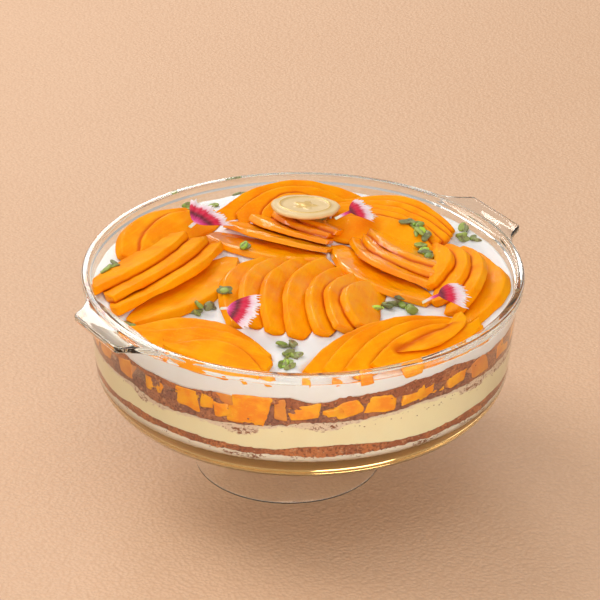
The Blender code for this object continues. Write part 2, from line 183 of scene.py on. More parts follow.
class Num:
    """A number in a material. Arithmetic on it adds Math nodes."""

    def __init__(self, graph: "Graph", socket: bpy.types.NodeSocket) -> None:
        """Keeps the socket that the number comes from, and its graph."""
        self.graph = graph
        self.socket = socket

    def _math(self, operation: str, first: Any, second: Any) -> "Num":
        """Adds one Math node."""
        made = self.graph.node("ShaderNodeMath", {"operation": operation}, {0: first, 1: second})
        return Num(self.graph, made.outputs[0])

    def __add__(self, other: Any) -> "Num":
        """self + other."""
        return self._math("ADD", self, other)

    __radd__ = __add__

    def __sub__(self, other: Any) -> "Num":
        """self - other."""
        return self._math("SUBTRACT", self, other)

    def __rsub__(self, other: Any) -> "Num":
        """other - self."""
        return self._math("SUBTRACT", other, self)

    def __mul__(self, other: Any) -> "Num":
        """self * other."""
        return self._math("MULTIPLY", self, other)

    def rise(self, low: float, high: float) -> "Num":
        """Rises smoothly from 0 to 1 as self goes from low to high.

        Args:
            low: where the rise starts.
            high: where it ends.

        Returns:
            The Num that rises.
        """
        settings = {"interpolation_type": "SMOOTHSTEP"}
        made = self.graph.node("ShaderNodeMapRange", settings, {0: self, 1: low, 2: high})
        return Num(self.graph, made.outputs[0])


class Graph:
    """The node tree of one material."""

    def __init__(self, name: str) -> None:
        """Starts an empty material.

        Args:
            name: the material's name.
        """
        self.material = bpy.data.materials.new(name)
        self.material.use_nodes = True
        self.tree = self.material.node_tree
        self.tree.nodes.clear()

    def node(self, kind: str, settings: dict | None = None, inputs: dict | None = None) -> Any:
        """Adds a node.

        Args:
            kind: the node's type.
            settings: its own settings, set first. "stops" are a ramp's (place, colour) pairs.
            inputs: values, Nums or output sockets for its inputs, by name or number.

        Returns:
            The node.
        """
        made = self.tree.nodes.new(kind)
        for key, value in (settings or {}).items():
            if key == "stops":
                ramp = made.color_ramp
                while len(ramp.elements) < len(value):
                    ramp.elements.new(1.0)
                for element, (place, colour) in zip(ramp.elements, value):
                    element.position = place
                    element.color = (*colour, 1.0)
            else:
                setattr(made, key, value)
        for key, value in (inputs or {}).items():
            socket = made.inputs[key]
            value = value.socket if isinstance(value, Num) else value
            if isinstance(value, bpy.types.NodeSocket):
                self.tree.links.new(value, socket)
            elif isinstance(value, tuple) and len(socket.default_value) == 4:
                socket.default_value = (*value, 1.0)
            else:
                socket.default_value = value
        return made

    def place(self) -> Any:
        """The place of a point in metres, as the object holds it."""
        return self.node("ShaderNodeTexCoord").outputs["Object"]

    def split(self, vector: Any) -> list[Num]:
        """A vector's three numbers."""
        made = self.node("ShaderNodeSeparateXYZ", None, {0: vector})
        return [Num(self, out) for out in made.outputs]

    def stretched(self, vector: Any, scale: Colour) -> Any:
        """A vector scaled along each of its axes."""
        return self.node("ShaderNodeMapping", None, {"Vector": vector, "Scale": scale}).outputs[0]

    def attribute(self, name: str) -> Num:
        """A number that the mesh holds at each point."""
        return Num(self, self.node("ShaderNodeAttribute", {"attribute_name": name}).outputs["Fac"])

    def noise(self, scale: float, vector: Any, detail: float = 3.0, rough: float = 0.55) -> Num:
        """Cloudy noise between 0 and 1, with scale clouds in a metre."""
        inputs = {"Vector": vector, "Scale": scale, "Detail": detail, "Roughness": rough}
        return Num(self, self.node("ShaderNodeTexNoise", None, inputs).outputs["Fac"])

    def cells(self, scale: float, vector: Any) -> Num:
        """Distance from the middle of the nearest cell, with scale cells in a metre."""
        inputs = {"Vector": vector, "Scale": scale}
        return Num(self, self.node("ShaderNodeTexVoronoi", None, inputs).outputs["Distance"])

    def mix(self, share: Any, first: Any, second: Any) -> Any:
        """A colour between two others."""
        settings = {"data_type": "RGBA"}
        return self.node("ShaderNodeMix", settings, {0: share, 6: first, 7: second}).outputs[2]

    def ramp(self, share: Num, stops: Sequence[tuple[float, Colour]]) -> Any:
        """A colour from a ramp."""
        return self.node("ShaderNodeValToRGB", {"stops": stops}, {0: share}).outputs[0]

    def bump(self, height: Num, distance: float, strength: float = 1.0) -> Any:
        """A normal that follows a height from 0 to 1, which stands for distance in metres."""
        inputs = {"Height": height, "Distance": distance, "Strength": strength}
        return self.node("ShaderNodeBump", None, inputs).outputs[0]

    def shader(self, inputs: dict) -> Any:
        """A Principled shader's output."""
        return self.node("ShaderNodeBsdfPrincipled", None, inputs).outputs[0]

    def finish(self, shader: Any, volume: Any = None) -> bpy.types.Material:
        """Ends the tree.

        Args:
            shader: the surface's shader.
            volume: what fills the inside, if anything does.

        Returns:
            The material.
        """
        ends = {"Surface": shader} if volume is None else {"Surface": shader, "Volume": volume}
        self.node("ShaderNodeOutputMaterial", None, ends)
        return self.material


def beneath(weight: float, reach: Colour, depth: float) -> dict:
    """Shader inputs for light that goes depth millimetres in and comes out again."""
    return {"Subsurface Weight": weight, "Subsurface Radius": reach,
            "Subsurface Scale": depth * MM}


# ---------------------------------------------------------------- finishes

MANGO_GLOW: Colour = (1.0, 0.4, 0.08)
SPONGE_BROWN = srgb(138, 82, 50)


@dataclass(frozen=True)
class ClearGlass:
    """Pressed clear glass, which lets the lamps through to what is behind it."""

    name: str
    tint: Colour
    shade: Colour
    depth: Colour = (1.0, 0.8, 0.36)
    density: float = 10.0

    def material(self) -> bpy.types.Material:
        """Makes the material. Thick glass is tinted by depth, as strongly as density says.

        Returns:
            The material.
        """
        graph = Graph(self.name)
        where = graph.place()
        smudge = graph.noise(28.0, where).rise(0.55, 0.8)
        wave = graph.noise(30.0, where, 1.0)
        glass = graph.shader({
            "Base Color": self.tint, "Roughness": smudge * 0.02, "IOR": 1.5,
            "Transmission Weight": 1.0, "Normal": graph.bump(wave, 0.2 * MM, 0.2),
        })
        clear = graph.node("ShaderNodeBsdfTransparent", None, {"Color": self.shade}).outputs[0]
        lamp = graph.node("ShaderNodeLightPath").outputs["Is Shadow Ray"]
        both = graph.node("ShaderNodeMixShader", None, {0: lamp, 1: glass, 2: clear})
        inside = {"Color": self.depth, "Density": self.density}
        volume = graph.node("ShaderNodeVolumeAbsorption", None, inside).outputs[0]
        return graph.finish(both.outputs[0], volume)


@dataclass(frozen=True)
class MangoFlesh:
    """Ripe mango, dry from the knife or shining with its own juice."""

    name: str
    wet: float

    def material(self) -> bpy.types.Material:
        """Makes the material. The piece's UV map runs along the fibres, in metres.

        Returns:
            The material.
        """
        graph = Graph(self.name)
        where = graph.place()
        along = graph.node("ShaderNodeTexCoord").outputs["UV"]
        fibre = graph.noise(1.0, graph.stretched(along, (50.0, 620.0, 1.0)), 4.0)
        cloud = graph.noise(55.0, where, 3.0)
        grain = graph.noise(950.0, where, 2.0)
        colour = graph.mix(cloud.rise(0.35, 0.7), srgb(255, 163, 0), srgb(250, 140, 0))
        colour = graph.mix(fibre.rise(0.5, 0.75) * 0.5, colour, srgb(255, 180, 6))
        colour = graph.mix((1 - fibre).rise(0.55, 0.8) * 0.35, colour, srgb(240, 122, 0))
        colour = graph.mix(grain.rise(0.5, 0.75) * 0.4, colour, srgb(255, 176, 10))
        # Painted shade: deep orange where a slice lies close to a neighbour, for the shade in the
        # creases between slices.
        colour = graph.mix(graph.attribute("contact") * 0.85, colour, srgb(206, 76, 0))
        wrinkle = graph.noise(1.0, graph.stretched(along, (130.0, 480.0, 1.0)), 4.0)
        juice = graph.noise(60.0, where, 2.0).rise(0.5 - 0.3 * self.wet, 0.66 - 0.2 * self.wet)
        glint = grain.rise(0.62, 0.72) * (0.3 + 0.3 * self.wet)
        height = fibre * 0.5 + grain * 0.4 + wrinkle * (1.5 * self.wet ** 1.5)
        return graph.finish(graph.shader({
            "Base Color": colour,
            "Roughness": 0.55 - juice * (0.12 + 0.14 * self.wet),
            "Specular IOR Level": 0.07,
            **beneath(0.15, MANGO_GLOW, 2.0),
            "Coat Weight": juice * (0.04 + 0.96 * self.wet) + glint,
            "Coat Roughness": 0.08,
            "Coat IOR": 1.45,
            "Normal": graph.bump(height, 0.45 * MM, 0.65),
        }))


@dataclass(frozen=True)
class SoftCream:
    """Whipped cream or custard, smooth with fine bubbles, and crumbs where sponge rubbed it."""

    name: str
    colour: Colour
    shadow: Colour
    rubbed: float = 0.0
    smear: Colour | None = None

    def material(self) -> bpy.types.Material:
        """Makes the material. rubbed is how far under the piece's "top" crumbs lie, in mm.

        Returns:
            The material.
        """
        graph = Graph(self.name)
        where = graph.place()
        cloud = graph.noise(40.0, where, 3.0)
        bubble = graph.cells(650.0, where).rise(0.0, 0.35)
        colour = graph.mix(cloud.rise(0.3, 0.8) * 0.5, self.colour, self.shadow)
        if self.rubbed:
            under = graph.attribute("top")
            streak = graph.noise(1.0, graph.stretched(where, (230.0, 230.0, 620.0)), 4.0, 0.65)
            fleck = graph.noise(620.0, where, 3.0, 0.6)
            patch = graph.noise(26.0, where, 2.0).rise(0.42, 0.62)
            edge = (self.rubbed - under + (streak - 0.5) * 6 + (patch - 0.6) * 4).rise(-0.8, 0.5)
            if self.smear is not None:
                colour = graph.mix(edge, colour, self.smear)
            low = (under + (cloud - 0.5) * 3).rise(0.1 * self.rubbed, 0.8 * self.rubbed)
            crumbs = (fleck + low * 0.1 + patch * 0.05).rise(0.6, 0.66) * edge
            crumbs = crumbs * streak.rise(0.42, 0.54) * (0.25 + patch * 0.75)
            colour = graph.mix(crumbs, colour, SPONGE_BROWN)
        return graph.finish(graph.shader({
            "Base Color": colour,
            "Roughness": 0.5 - cloud * 0.1,
            "Specular IOR Level": 0.35,
            **beneath(0.25, (1.0, 0.75, 0.5), 2.0),
            "Normal": graph.bump(bubble * 0.35 + cloud, 0.3 * MM, 0.35),
        }))


@dataclass(frozen=True)
class Sponge:
    """Soaked chocolate sponge: open crumb with darker pores."""

    name: str
    crumb: Colour
    soaked: Colour
    pore: Colour

    def material(self) -> bpy.types.Material:
        """Makes the material.

        Returns:
            The material.
        """
        graph = Graph(self.name)
        where = graph.place()
        cloud = graph.noise(60.0, where, 4.0)
        pores = graph.noise(700.0, where, 3.0, 0.6)
        flecks = graph.noise(420.0, where, 4.0, 0.7)
        colour = graph.mix(cloud.rise(0.38, 0.62), self.crumb, self.soaked)
        colour = graph.mix(pores.rise(0.48, 0.62) * 0.8, colour, self.pore)
        colour = graph.mix(flecks.rise(0.56, 0.66) * 0.7, colour, srgb(214, 158, 116))
        return graph.finish(graph.shader({
            "Base Color": colour, "Roughness": 0.95 - cloud * 0.2,
            "Normal": graph.bump(flecks - pores * 0.7, 0.9 * MM, 0.9),
        }))


@dataclass(frozen=True)
class CutMango:
    """Mango blocks in the middle layer, some seen through a film of cream."""

    name: str = "mango_blocks"

    def material(self) -> bpy.types.Material:
        """Makes the material. The piece's "veil" says how pale each block is.

        Returns:
            The material.
        """
        graph = Graph(self.name)
        where = graph.place()
        cloud = graph.noise(120.0, where, 3.0)
        fibre = graph.noise(1.0, graph.stretched(where, (350.0, 350.0, 900.0)), 3.0)
        fresh = graph.mix(cloud.rise(0.35, 0.65), srgb(255, 176, 8), srgb(248, 144, 4))
        fresh = graph.mix(fibre.rise(0.55, 0.75) * 0.5, fresh, srgb(255, 198, 40))
        veil = (graph.attribute("veil") + (cloud - 0.5) * 0.5).rise(0.1, 0.9)
        return graph.finish(graph.shader({
            "Base Color": graph.mix(veil, fresh, srgb(216, 134, 66)),
            "Roughness": 0.42 + cloud * 0.15,
            **beneath(0.15, MANGO_GLOW, 2.0),
            "Normal": graph.bump(fibre + cloud, 0.4 * MM, 0.6),
        }))


@dataclass(frozen=True)
class PistachioNut:
    """Split pistachio kernels: green flesh, grey-green faces and dark violet skin."""

    name: str = "pistachio_kernel"

    def material(self) -> bpy.types.Material:
        """Makes the material. The piece's "tone" chooses the colour of each kernel.

        Returns:
            The material.
        """
        graph = Graph(self.name)
        where = graph.place()
        tone = graph.attribute("tone")
        patch = graph.noise(380.0, where, 3.0)
        flesh = graph.ramp(tone, (
            (0.0, srgb(124, 146, 46)), (0.3, srgb(164, 182, 88)), (0.55, srgb(142, 144, 92)),
            (0.8, srgb(112, 122, 70)), (0.93, srgb(156, 198, 50)), (1.0, srgb(196, 232, 66)),
        ))
        skin = (patch + tone * 0.06).rise(0.54, 0.64)
        return graph.finish(graph.shader({
            "Base Color": graph.mix(skin * 0.65, flesh, srgb(104, 74, 62)),
            "Roughness": 0.6 - patch * 0.25,
            "Coat Weight": patch * 0.3,
            "Coat Roughness": 0.3,
            "Normal": graph.bump(patch + graph.noise(1400.0, where), 0.25 * MM, 0.6),
        }))


@dataclass(frozen=True)
class GoldChocolate:
    """Ivory chocolate, brushed with gold lustre where it is raised."""

    name: str = "gold_chocolate"

    def material(self) -> bpy.types.Material:
        """Makes the material. The piece's "gold" says where the lustre lies.

        Returns:
            The material.
        """
        graph = Graph(self.name)
        where = graph.place()
        cloud = graph.noise(160.0, where, 3.0)
        gold = (graph.attribute("gold") + (cloud - 0.5) * 0.9).rise(0.35, 0.9)
        return graph.finish(graph.shader({
            "Base Color": graph.mix(gold, srgb(229, 198, 142), srgb(236, 194, 108)),
            "Metallic": gold * 0.35,
            "Roughness": 0.42 - gold * 0.16,
            "Normal": graph.bump(cloud + graph.noise(700.0, where) * 0.4, 0.3 * MM, 0.5),
        }))


@dataclass(frozen=True)
class FringedPetal:
    """A dianthus petal: pale claw, pink throat, maroon ring, crimson blade and white fringe."""

    name: str = "fringed_petal"

    def material(self) -> bpy.types.Material:
        """Makes the material. The piece's UV map has u along the petal and v across it.

        Returns:
            The material.
        """
        graph = Graph(self.name)
        uv = graph.node("ShaderNodeTexCoord").outputs["UV"]
        along = graph.split(uv)[0]
        vein = graph.noise(1.0, graph.stretched(uv, (2.2, 34.0, 1.0)), 3.0)
        reach = along + (vein - 0.5) * 0.36
        blade = graph.ramp(reach, (
            (0.0, srgb(214, 222, 180)), (0.14, srgb(238, 214, 216)), (0.2, srgb(226, 70, 150)),
            (0.31, srgb(186, 14, 88)), (0.37, srgb(74, 2, 22)), (0.44, srgb(160, 0, 46)),
            (0.5, srgb(214, 4, 62)), (0.6, srgb(206, 0, 58)), (0.67, srgb(238, 196, 208)),
            (1.0, srgb(244, 234, 234)),
        ))
        return graph.finish(graph.shader({
            "Base Color": blade,
            "Roughness": 0.62 + vein * 0.1,
            **beneath(0.12, (1.0, 0.5, 0.5), 0.6),
            "Normal": graph.bump(vein, 0.25 * MM, 0.6),
        }))


@dataclass(frozen=True)
class TableTop:
    """A pale matt table with a fine pebbled grain."""

    name: str = "table"

    def material(self) -> bpy.types.Material:
        """Makes the material.

        Returns:
            The material.
        """
        graph = Graph(self.name)
        where = graph.place()
        pebble = graph.cells(480.0, where)
        cloud = graph.noise(5.0, where, 2.0)
        colour = graph.mix(cloud.rise(0.3, 0.7) * 0.3, srgb(224, 184, 150), srgb(218, 176, 140))
        colour = graph.mix(pebble.rise(0.3, 0.7) * 0.25, colour, srgb(206, 160, 124))
        return graph.finish(graph.shader({
            "Base Color": colour, "Roughness": 0.6,
            "Normal": graph.bump(pebble, 0.6 * MM, 0.7),
        }))


# ---------------------------------------------------------------- making pieces


def mesh_of(shape: bmesh.types.BMesh, name: str) -> bpy.types.Mesh:
    """Turns a bmesh into a mesh and frees it.

    Args:
        shape: the bmesh.
        name: the mesh's name.

    Returns:
        The mesh, smoothly shaded.
    """
    mesh = bpy.data.meshes.new(name)
    shape.to_mesh(mesh)
    shape.free()
    mesh.shade_smooth()
    return mesh


def points_of(mesh: bpy.types.Mesh) -> np.ndarray:
    """The places of a mesh's vertices, one row each.

    Args:
        mesh: the mesh.

    Returns:
        An array of x, y and z, in metres.
    """
    flat = np.empty(len(mesh.vertices) * 3)
    mesh.vertices.foreach_get("co", flat)
    return flat.reshape(-1, 3)


def normals_of(mesh: bpy.types.Mesh) -> np.ndarray:
    """The normals at a mesh's vertices, one row each.

    Args:
        mesh: the mesh.

    Returns:
        An array of unit vectors.
    """
    flat = np.empty(len(mesh.vertices) * 3)
    mesh.vertices.foreach_get("normal", flat)
    return flat.reshape(-1, 3)


def move_points(mesh: bpy.types.Mesh, points: np.ndarray) -> None:
    """Puts a mesh's vertices at new places."""
    mesh.vertices.foreach_set("co", points.ravel())
    mesh.update()


def set_number(mesh: bpy.types.Mesh, name: str, values: np.ndarray) -> None:
    """Keeps a number for each vertex, for the material to read."""
    mesh.attributes.new(name, "FLOAT", "POINT").data.foreach_set("value", values.astype(np.float32))


def set_uv(mesh: bpy.types.Mesh, uv: np.ndarray) -> None:
    """Gives a mesh a UV map.

    Args:
        mesh: the mesh that takes it.
        uv: a (u, v) row for each vertex.
    """
    corners = np.empty(len(mesh.loops), np.int32)
    mesh.loops.foreach_get("vertex_index", corners)
    layer = mesh.uv_layers.new(name="UVMap")
    layer.uv.foreach_set("vector", uv[corners].astype(np.float32).ravel())


def turned(profile: Sequence[tuple[float, float]], steps: int) -> bmesh.types.BMesh:
    """Spins an edge profile once round the axis.

    Args:
        profile: (radius, height) points, in order.
        steps: how many steps the turn takes.

    Returns:
        The bmesh, with its doubles merged and its faces outwards.
    """
    shape = bmesh.new()
    verts = [shape.verts.new((r, 0, z)) for r, z in profile]
    edges = [shape.edges.new(pair) for pair in zip(verts, verts[1:])]
    bmesh.ops.spin(shape, geom=verts + edges, cent=(0, 0, 0), axis=(0, 0, 1), angle=math.tau,
                   steps=steps, use_merge=True)
    bmesh.ops.remove_doubles(shape, verts=shape.verts, dist=1e-6)
    bmesh.ops.recalc_face_normals(shape, faces=shape.faces)
    return shape


def arc(r: float, z: float, radius: float, start: float, end: float, count: int) -> list:
    """Points of an arc in a turned profile, from start to end degrees, both ends included."""
    turns = [math.radians(start + (end - start) * i / count) for i in range(count + 1)]
    return [(r + radius * math.cos(t), z + radius * math.sin(t)) for t in turns]


def bake_modifiers(made: bpy.types.Object) -> None:
    """Applies an object's modifiers to its mesh.

    Args:
        made: the object.
    """
    seen = made.evaluated_get(bpy.context.evaluated_depsgraph_get())
    mesh = bpy.data.meshes.new_from_object(seen)
    made.modifiers.clear()
    made.data = mesh


def show(name: str, mesh: bpy.types.Mesh) -> bpy.types.Object:
    """Puts a mesh in the scene.

    Args:
        name: the object's name.
        mesh: its mesh.

    Returns:
        The object.
    """
    made = bpy.data.objects.new(name, mesh)
    bpy.context.scene.collection.objects.link(made)
    return made


def settle(made: bpy.types.Object, finish: bpy.types.Material,
           nodes: Sequence[str] = ()) -> bpy.types.Object:
    """Dresses a finished piece and ties it to the frame.

    Args:
        made: the piece.
        finish: its material.
        nodes: the frame's nodes that it stands for.

    Returns:
        The piece.
    """
    made.data.materials.clear()
    made.data.materials.append(finish)
    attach(made, ROOT)
    if nodes:
        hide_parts(*nodes)
    LOG.info("%s: %d faces", made.name, len(made.data.polygons))
    return made


# ---------------------------------------------------------------- glass


@dataclass
class Glassware:
    """The bowl with its lug handles, and the foot."""

    lug_reach: float = 125.2 * MM
    lug_half: float = 20.8 * MM
    lug_angle: float = math.radians(19)
    lug_thick: float = 3.8 * MM
    lug_below_rim: float = 0.4 * MM
    lug_root_r: float = 113.0 * MM
    lug_sweep: float = 11.0 * MM
    lug_corner: float = 2.4 * MM
    lug_bevel: float = 1.1 * MM
    foot_offset: tuple[float, float] = (-7.1, 0.0)
    foot_low_r: float = 49.6 * MM
    foot_top_r: float = 46.5 * MM
    foot_wall: float = 3.2 * MM
    foot_edge: float = 0.9 * MM
    foot_gap: float = 0.3 * MM
    steps: int = 256

    def bowl_profile(self) -> list[tuple[float, float]]:
        """The wall from the middle of its floor over the lip to its underside.

        Returns:
            (radius, height) points, in metres.
        """
        low_r = WALL_LOW_R - WALL_LOW
        lip_z = RIM_Z - LIP_HEIGHT
        inner_lip_r = float(inner_wall_r(np.array(lip_z)))
        profile = [(0, FLOOR_Z), (30 * MM, FLOOR_Z), (70 * MM, FLOOR_Z)]
        profile += arc(low_r - INNER_CORNER_R, FLOOR_Z + INNER_CORNER_R, INNER_CORNER_R, -90, 0, 12)
        profile += [(inner_lip_r, lip_z), (inner_lip_r + 0.3 * MM, lip_z + 0.8 * MM)]
        profile += arc(LIP_INNER_R + EDGE_R, RIM_Z - EDGE_R, EDGE_R, 180, 90, 6)
        profile += arc(RIM_R - EDGE_R, RIM_Z - EDGE_R, EDGE_R, 90, 0, 6)
        profile += arc(RIM_R - EDGE_R, lip_z + EDGE_R * 1.4, EDGE_R, 0, -60, 4)
        profile += [(WALL_TOP_R + 0.2 * MM, lip_z - 0.1 * MM), (WALL_TOP_R - 0.1 * MM, lip_z - MM)]
        corner_r = WALL_LOW_R - OUTER_CORNER_R
        profile += arc(corner_r, UNDERSIDE_Z + OUTER_CORNER_R, OUTER_CORNER_R, 0, -90, 20)
        profile += [(60 * MM, UNDERSIDE_Z), (30 * MM, UNDERSIDE_Z), (0, UNDERSIDE_Z)]
        return profile

    def lug_outline(self, side: int) -> list[tuple[float, float]]:
        """One handle from above: splayed sides, a straight outer edge and round corners.

        Args:
            side: 1 for the handle at +X and -1 for the other.

        Returns:
            (x, y) points, in metres.
        """
        out = Vector((math.cos(self.lug_angle), math.sin(self.lug_angle)))
        leave = out * RIM_R
        bend = leave + Vector((out.y, -out.x)) * self.lug_sweep
        corner = Vector((self.lug_reach, self.lug_half))
        towards = (bend - corner).normalized()
        half = [out * self.lug_root_r]
        half += [leave * (1 - t) ** 2 + bend * 2 * t * (1 - t) + corner * t ** 2
                 for t in (i / 12 for i in range(12))]
        first = corner + towards * self.lug_corner
        last = corner + Vector((0, -self.lug_corner))
        half += [first * (1 - t) ** 2 + corner * 2 * t * (1 - t) + last * t ** 2
                 for t in (i / 6 for i in range(7))]
        whole = half + [Vector((p.x, -p.y)) for p in reversed(half)]
        return [(side * p.x, side * p.y) for p in whole]

    def lugs(self) -> bpy.types.Mesh:
        """Both handles as bevelled plates.

        Returns:
            The mesh.
        """
        shape = bmesh.new()
        low = RIM_Z - self.lug_below_rim - self.lug_thick
        for side in (1, -1):
            face = shape.faces.new([shape.verts.new((x, y, low))
                                    for x, y in self.lug_outline(side)])
            raised = bmesh.ops.extrude_face_region(shape, geom=[face])["geom"]
            verts = [item for item in raised if isinstance(item, bmesh.types.BMVert)]
            bmesh.ops.translate(shape, verts=verts, vec=(0, 0, self.lug_thick))
        bmesh.ops.recalc_face_normals(shape, faces=shape.faces)
        rims = [edge for edge in shape.edges if edge.calc_face_angle(0) > 1.0
                and abs(edge.verts[0].co.z - edge.verts[1].co.z) < 1e-6]
        bmesh.ops.bevel(shape, geom=rims, offset=self.lug_bevel, segments=4, profile=0.5,
                        material=-1, affect="EDGES")
        return mesh_of(shape, "lugs")

    def build(self) -> None:
        """Makes and dresses the bowl and the foot."""
        glass = ClearGlass("clear_glass", (0.98, 0.99, 0.975), (0.97, 0.965, 0.95)).material()
        bowl = show("bowl_glass", mesh_of(turned(self.bowl_profile(), self.steps), "bowl_glass"))
        handles = show("handles", self.lugs())
        union = bowl.modifiers.new("handles", "BOOLEAN")
        union.operation = "UNION"
        union.solver = "EXACT"
        union.object = handles
        bake_modifiers(bowl)
        bpy.data.objects.remove(handles)
        bowl.data.shade_smooth()
        bowl.data.set_sharp_from_angle(angle=math.radians(38))
        settle(bowl, glass, ["glass_bowl"])
        self.build_foot()

    def build_foot(self) -> None:
        """Makes and dresses the hollow foot."""
        edge = self.foot_edge
        top_z = UNDERSIDE_Z - self.foot_gap
        inner_low = self.foot_low_r - self.foot_wall
        inner_top = self.foot_top_r - self.foot_wall
        profile = arc(self.foot_top_r - edge, top_z - edge, edge, 90, 0, 4)
        profile += arc(self.foot_low_r - edge, edge, edge, 0, -90, 5)
        profile += arc(inner_low + edge, edge, edge, -90, -180, 5)
        profile += arc(inner_top + edge, top_z - edge, edge, 180, 90, 4)
        profile.append(profile[0])
        shape = turned(profile, self.steps)
        bmesh.ops.translate(shape, verts=shape.verts, vec=served(*self.foot_offset))
        foot = show("foot_glass", mesh_of(shape, "foot_glass"))
        glass = ClearGlass("foot_clear_glass", (0.99, 0.99, 0.98), (0.975, 0.965, 0.95))
        settle(foot, glass.material(), ["glass_foot"])


# ---------------------------------------------------------------- layers


@dataclass(frozen=True)
class Boundary:
    """A level between two layers, in millimetres: its height and how it waves round the wall."""

    height: float
    wave: float
    scallop: float
    seed: int
    tilt: float = 0.0
    marks: tuple[tuple[float, float], ...] = ()     # (degrees, height) on the serving side

    def at(self, angle: np.ndarray) -> np.ndarray:
        """Its height at each serving angle.

        Args:
            angle: serving angles, in radians.

        Returns:
            Heights in metres.
        """
        dice = random.Random(self.seed)
        level = np.full_like(angle, self.height)
        for count, share in ((2, 0.5), (3, 0.5), (5, 0.45), (8, 0.35)):
            level += self.wave * share * np.sin(count * angle + dice.uniform(0, math.tau))
        if self.marks:
            degrees = np.degrees(angle)
            places, heights = zip(*self.marks)
            spread = sum(np.interp(degrees + shift, places, heights) for shift in (-2, 0, 2)) / 3
            served_side = smooth_step(58, 40, np.abs(degrees))
            level = level * (1 - served_side) + spread * served_side
        for count, share in ((13, 0.6), (21, 0.45), (34, 0.3), (55, 0.2), (89, 0.12)):
            level += self.scallop * share * np.sin(count * angle + dice.uniform(0, math.tau))
        return (level + self.tilt * np.sin(angle)) * MM


@dataclass
class Layer:
    """One layer of the trifle, from the axis to just inside the glass wall."""

    name: str
    low: Boundary
    high: Boundary
    slot: str
    nodes: tuple[str, ...]
    push: float = 0.3           # how far it reaches into the wall, in millimetres
    rough: float = 0.08
    grain: float = 1.6
    dent: float = 0.0
    seed: int = 1
    steps: int = 480
    rows: int = 12

    def unit_profile(self) -> list[tuple[float, float]]:
        """The outline with radius and height from 0 to 1."""
        side = [(1.0, row / self.rows) for row in range(self.rows + 1)]
        return [(0.0, 0.0), (0.5, 0.0), (0.9, 0.0), *side, (0.9, 1.0), (0.5, 1.0), (0.0, 1.0)]

    def shaped(self, units: np.ndarray) -> np.ndarray:
        """Finds where the points of the turned shape come to lie.

        Args:
            units: points whose radius and height are still between 0 and 1.

        Returns:
            Their places, in metres.
        """
        angle, turn = serving_angle(units), turns_of(units)
        reach, share = radii(units), units[:, 2]
        low, high = self.low.at(angle), self.high.at(angle)
        z = low + (high - low) * share
        wall = inner_wall_r(z)
        at_wall = polar(wall, turn, z)
        fine = Relief(self.seed, self.grain * MM)(at_wall) * self.rough * MM
        wide = Relief(self.seed + 50, 7 * MM)(at_wall)
        pulled = self.dent * MM * smooth_step(0.0, 1.2, wide)
        near = smooth_step(0.95, 1.0, reach)
        r = reach * wall + near * (self.push * MM + fine - pulled)
        z = z + near * fine * (4 * (share - 0.5))
        return polar(r, turn, z)

    def build(self, finish: bpy.types.Material) -> bpy.types.Object:
        """Makes and dresses the layer.

        Args:
            finish: its material.

        Returns:
            The dressed piece.
        """
        mesh = mesh_of(turned(self.unit_profile(), self.steps), self.name)
        units = points_of(mesh)
        points = self.shaped(units)
        move_points(mesh, points)
        set_number(mesh, "top", self.high.at(serving_angle(units)) / MM - points[:, 2] / MM)
        mesh.set_sharp_from_angle(angle=math.radians(60))
        return settle(show(self.name, mesh), finish, self.nodes)


@dataclass(frozen=True)
class Block:
    """One piece of mango against the wall: serving angle, width and lowest and highest point."""

    angle: float
    width: float
    low: float
    high: float
    veil: float = 0.0
    slant: float = 0.0
    depth: float = 12.0
    behind: float = 0.0


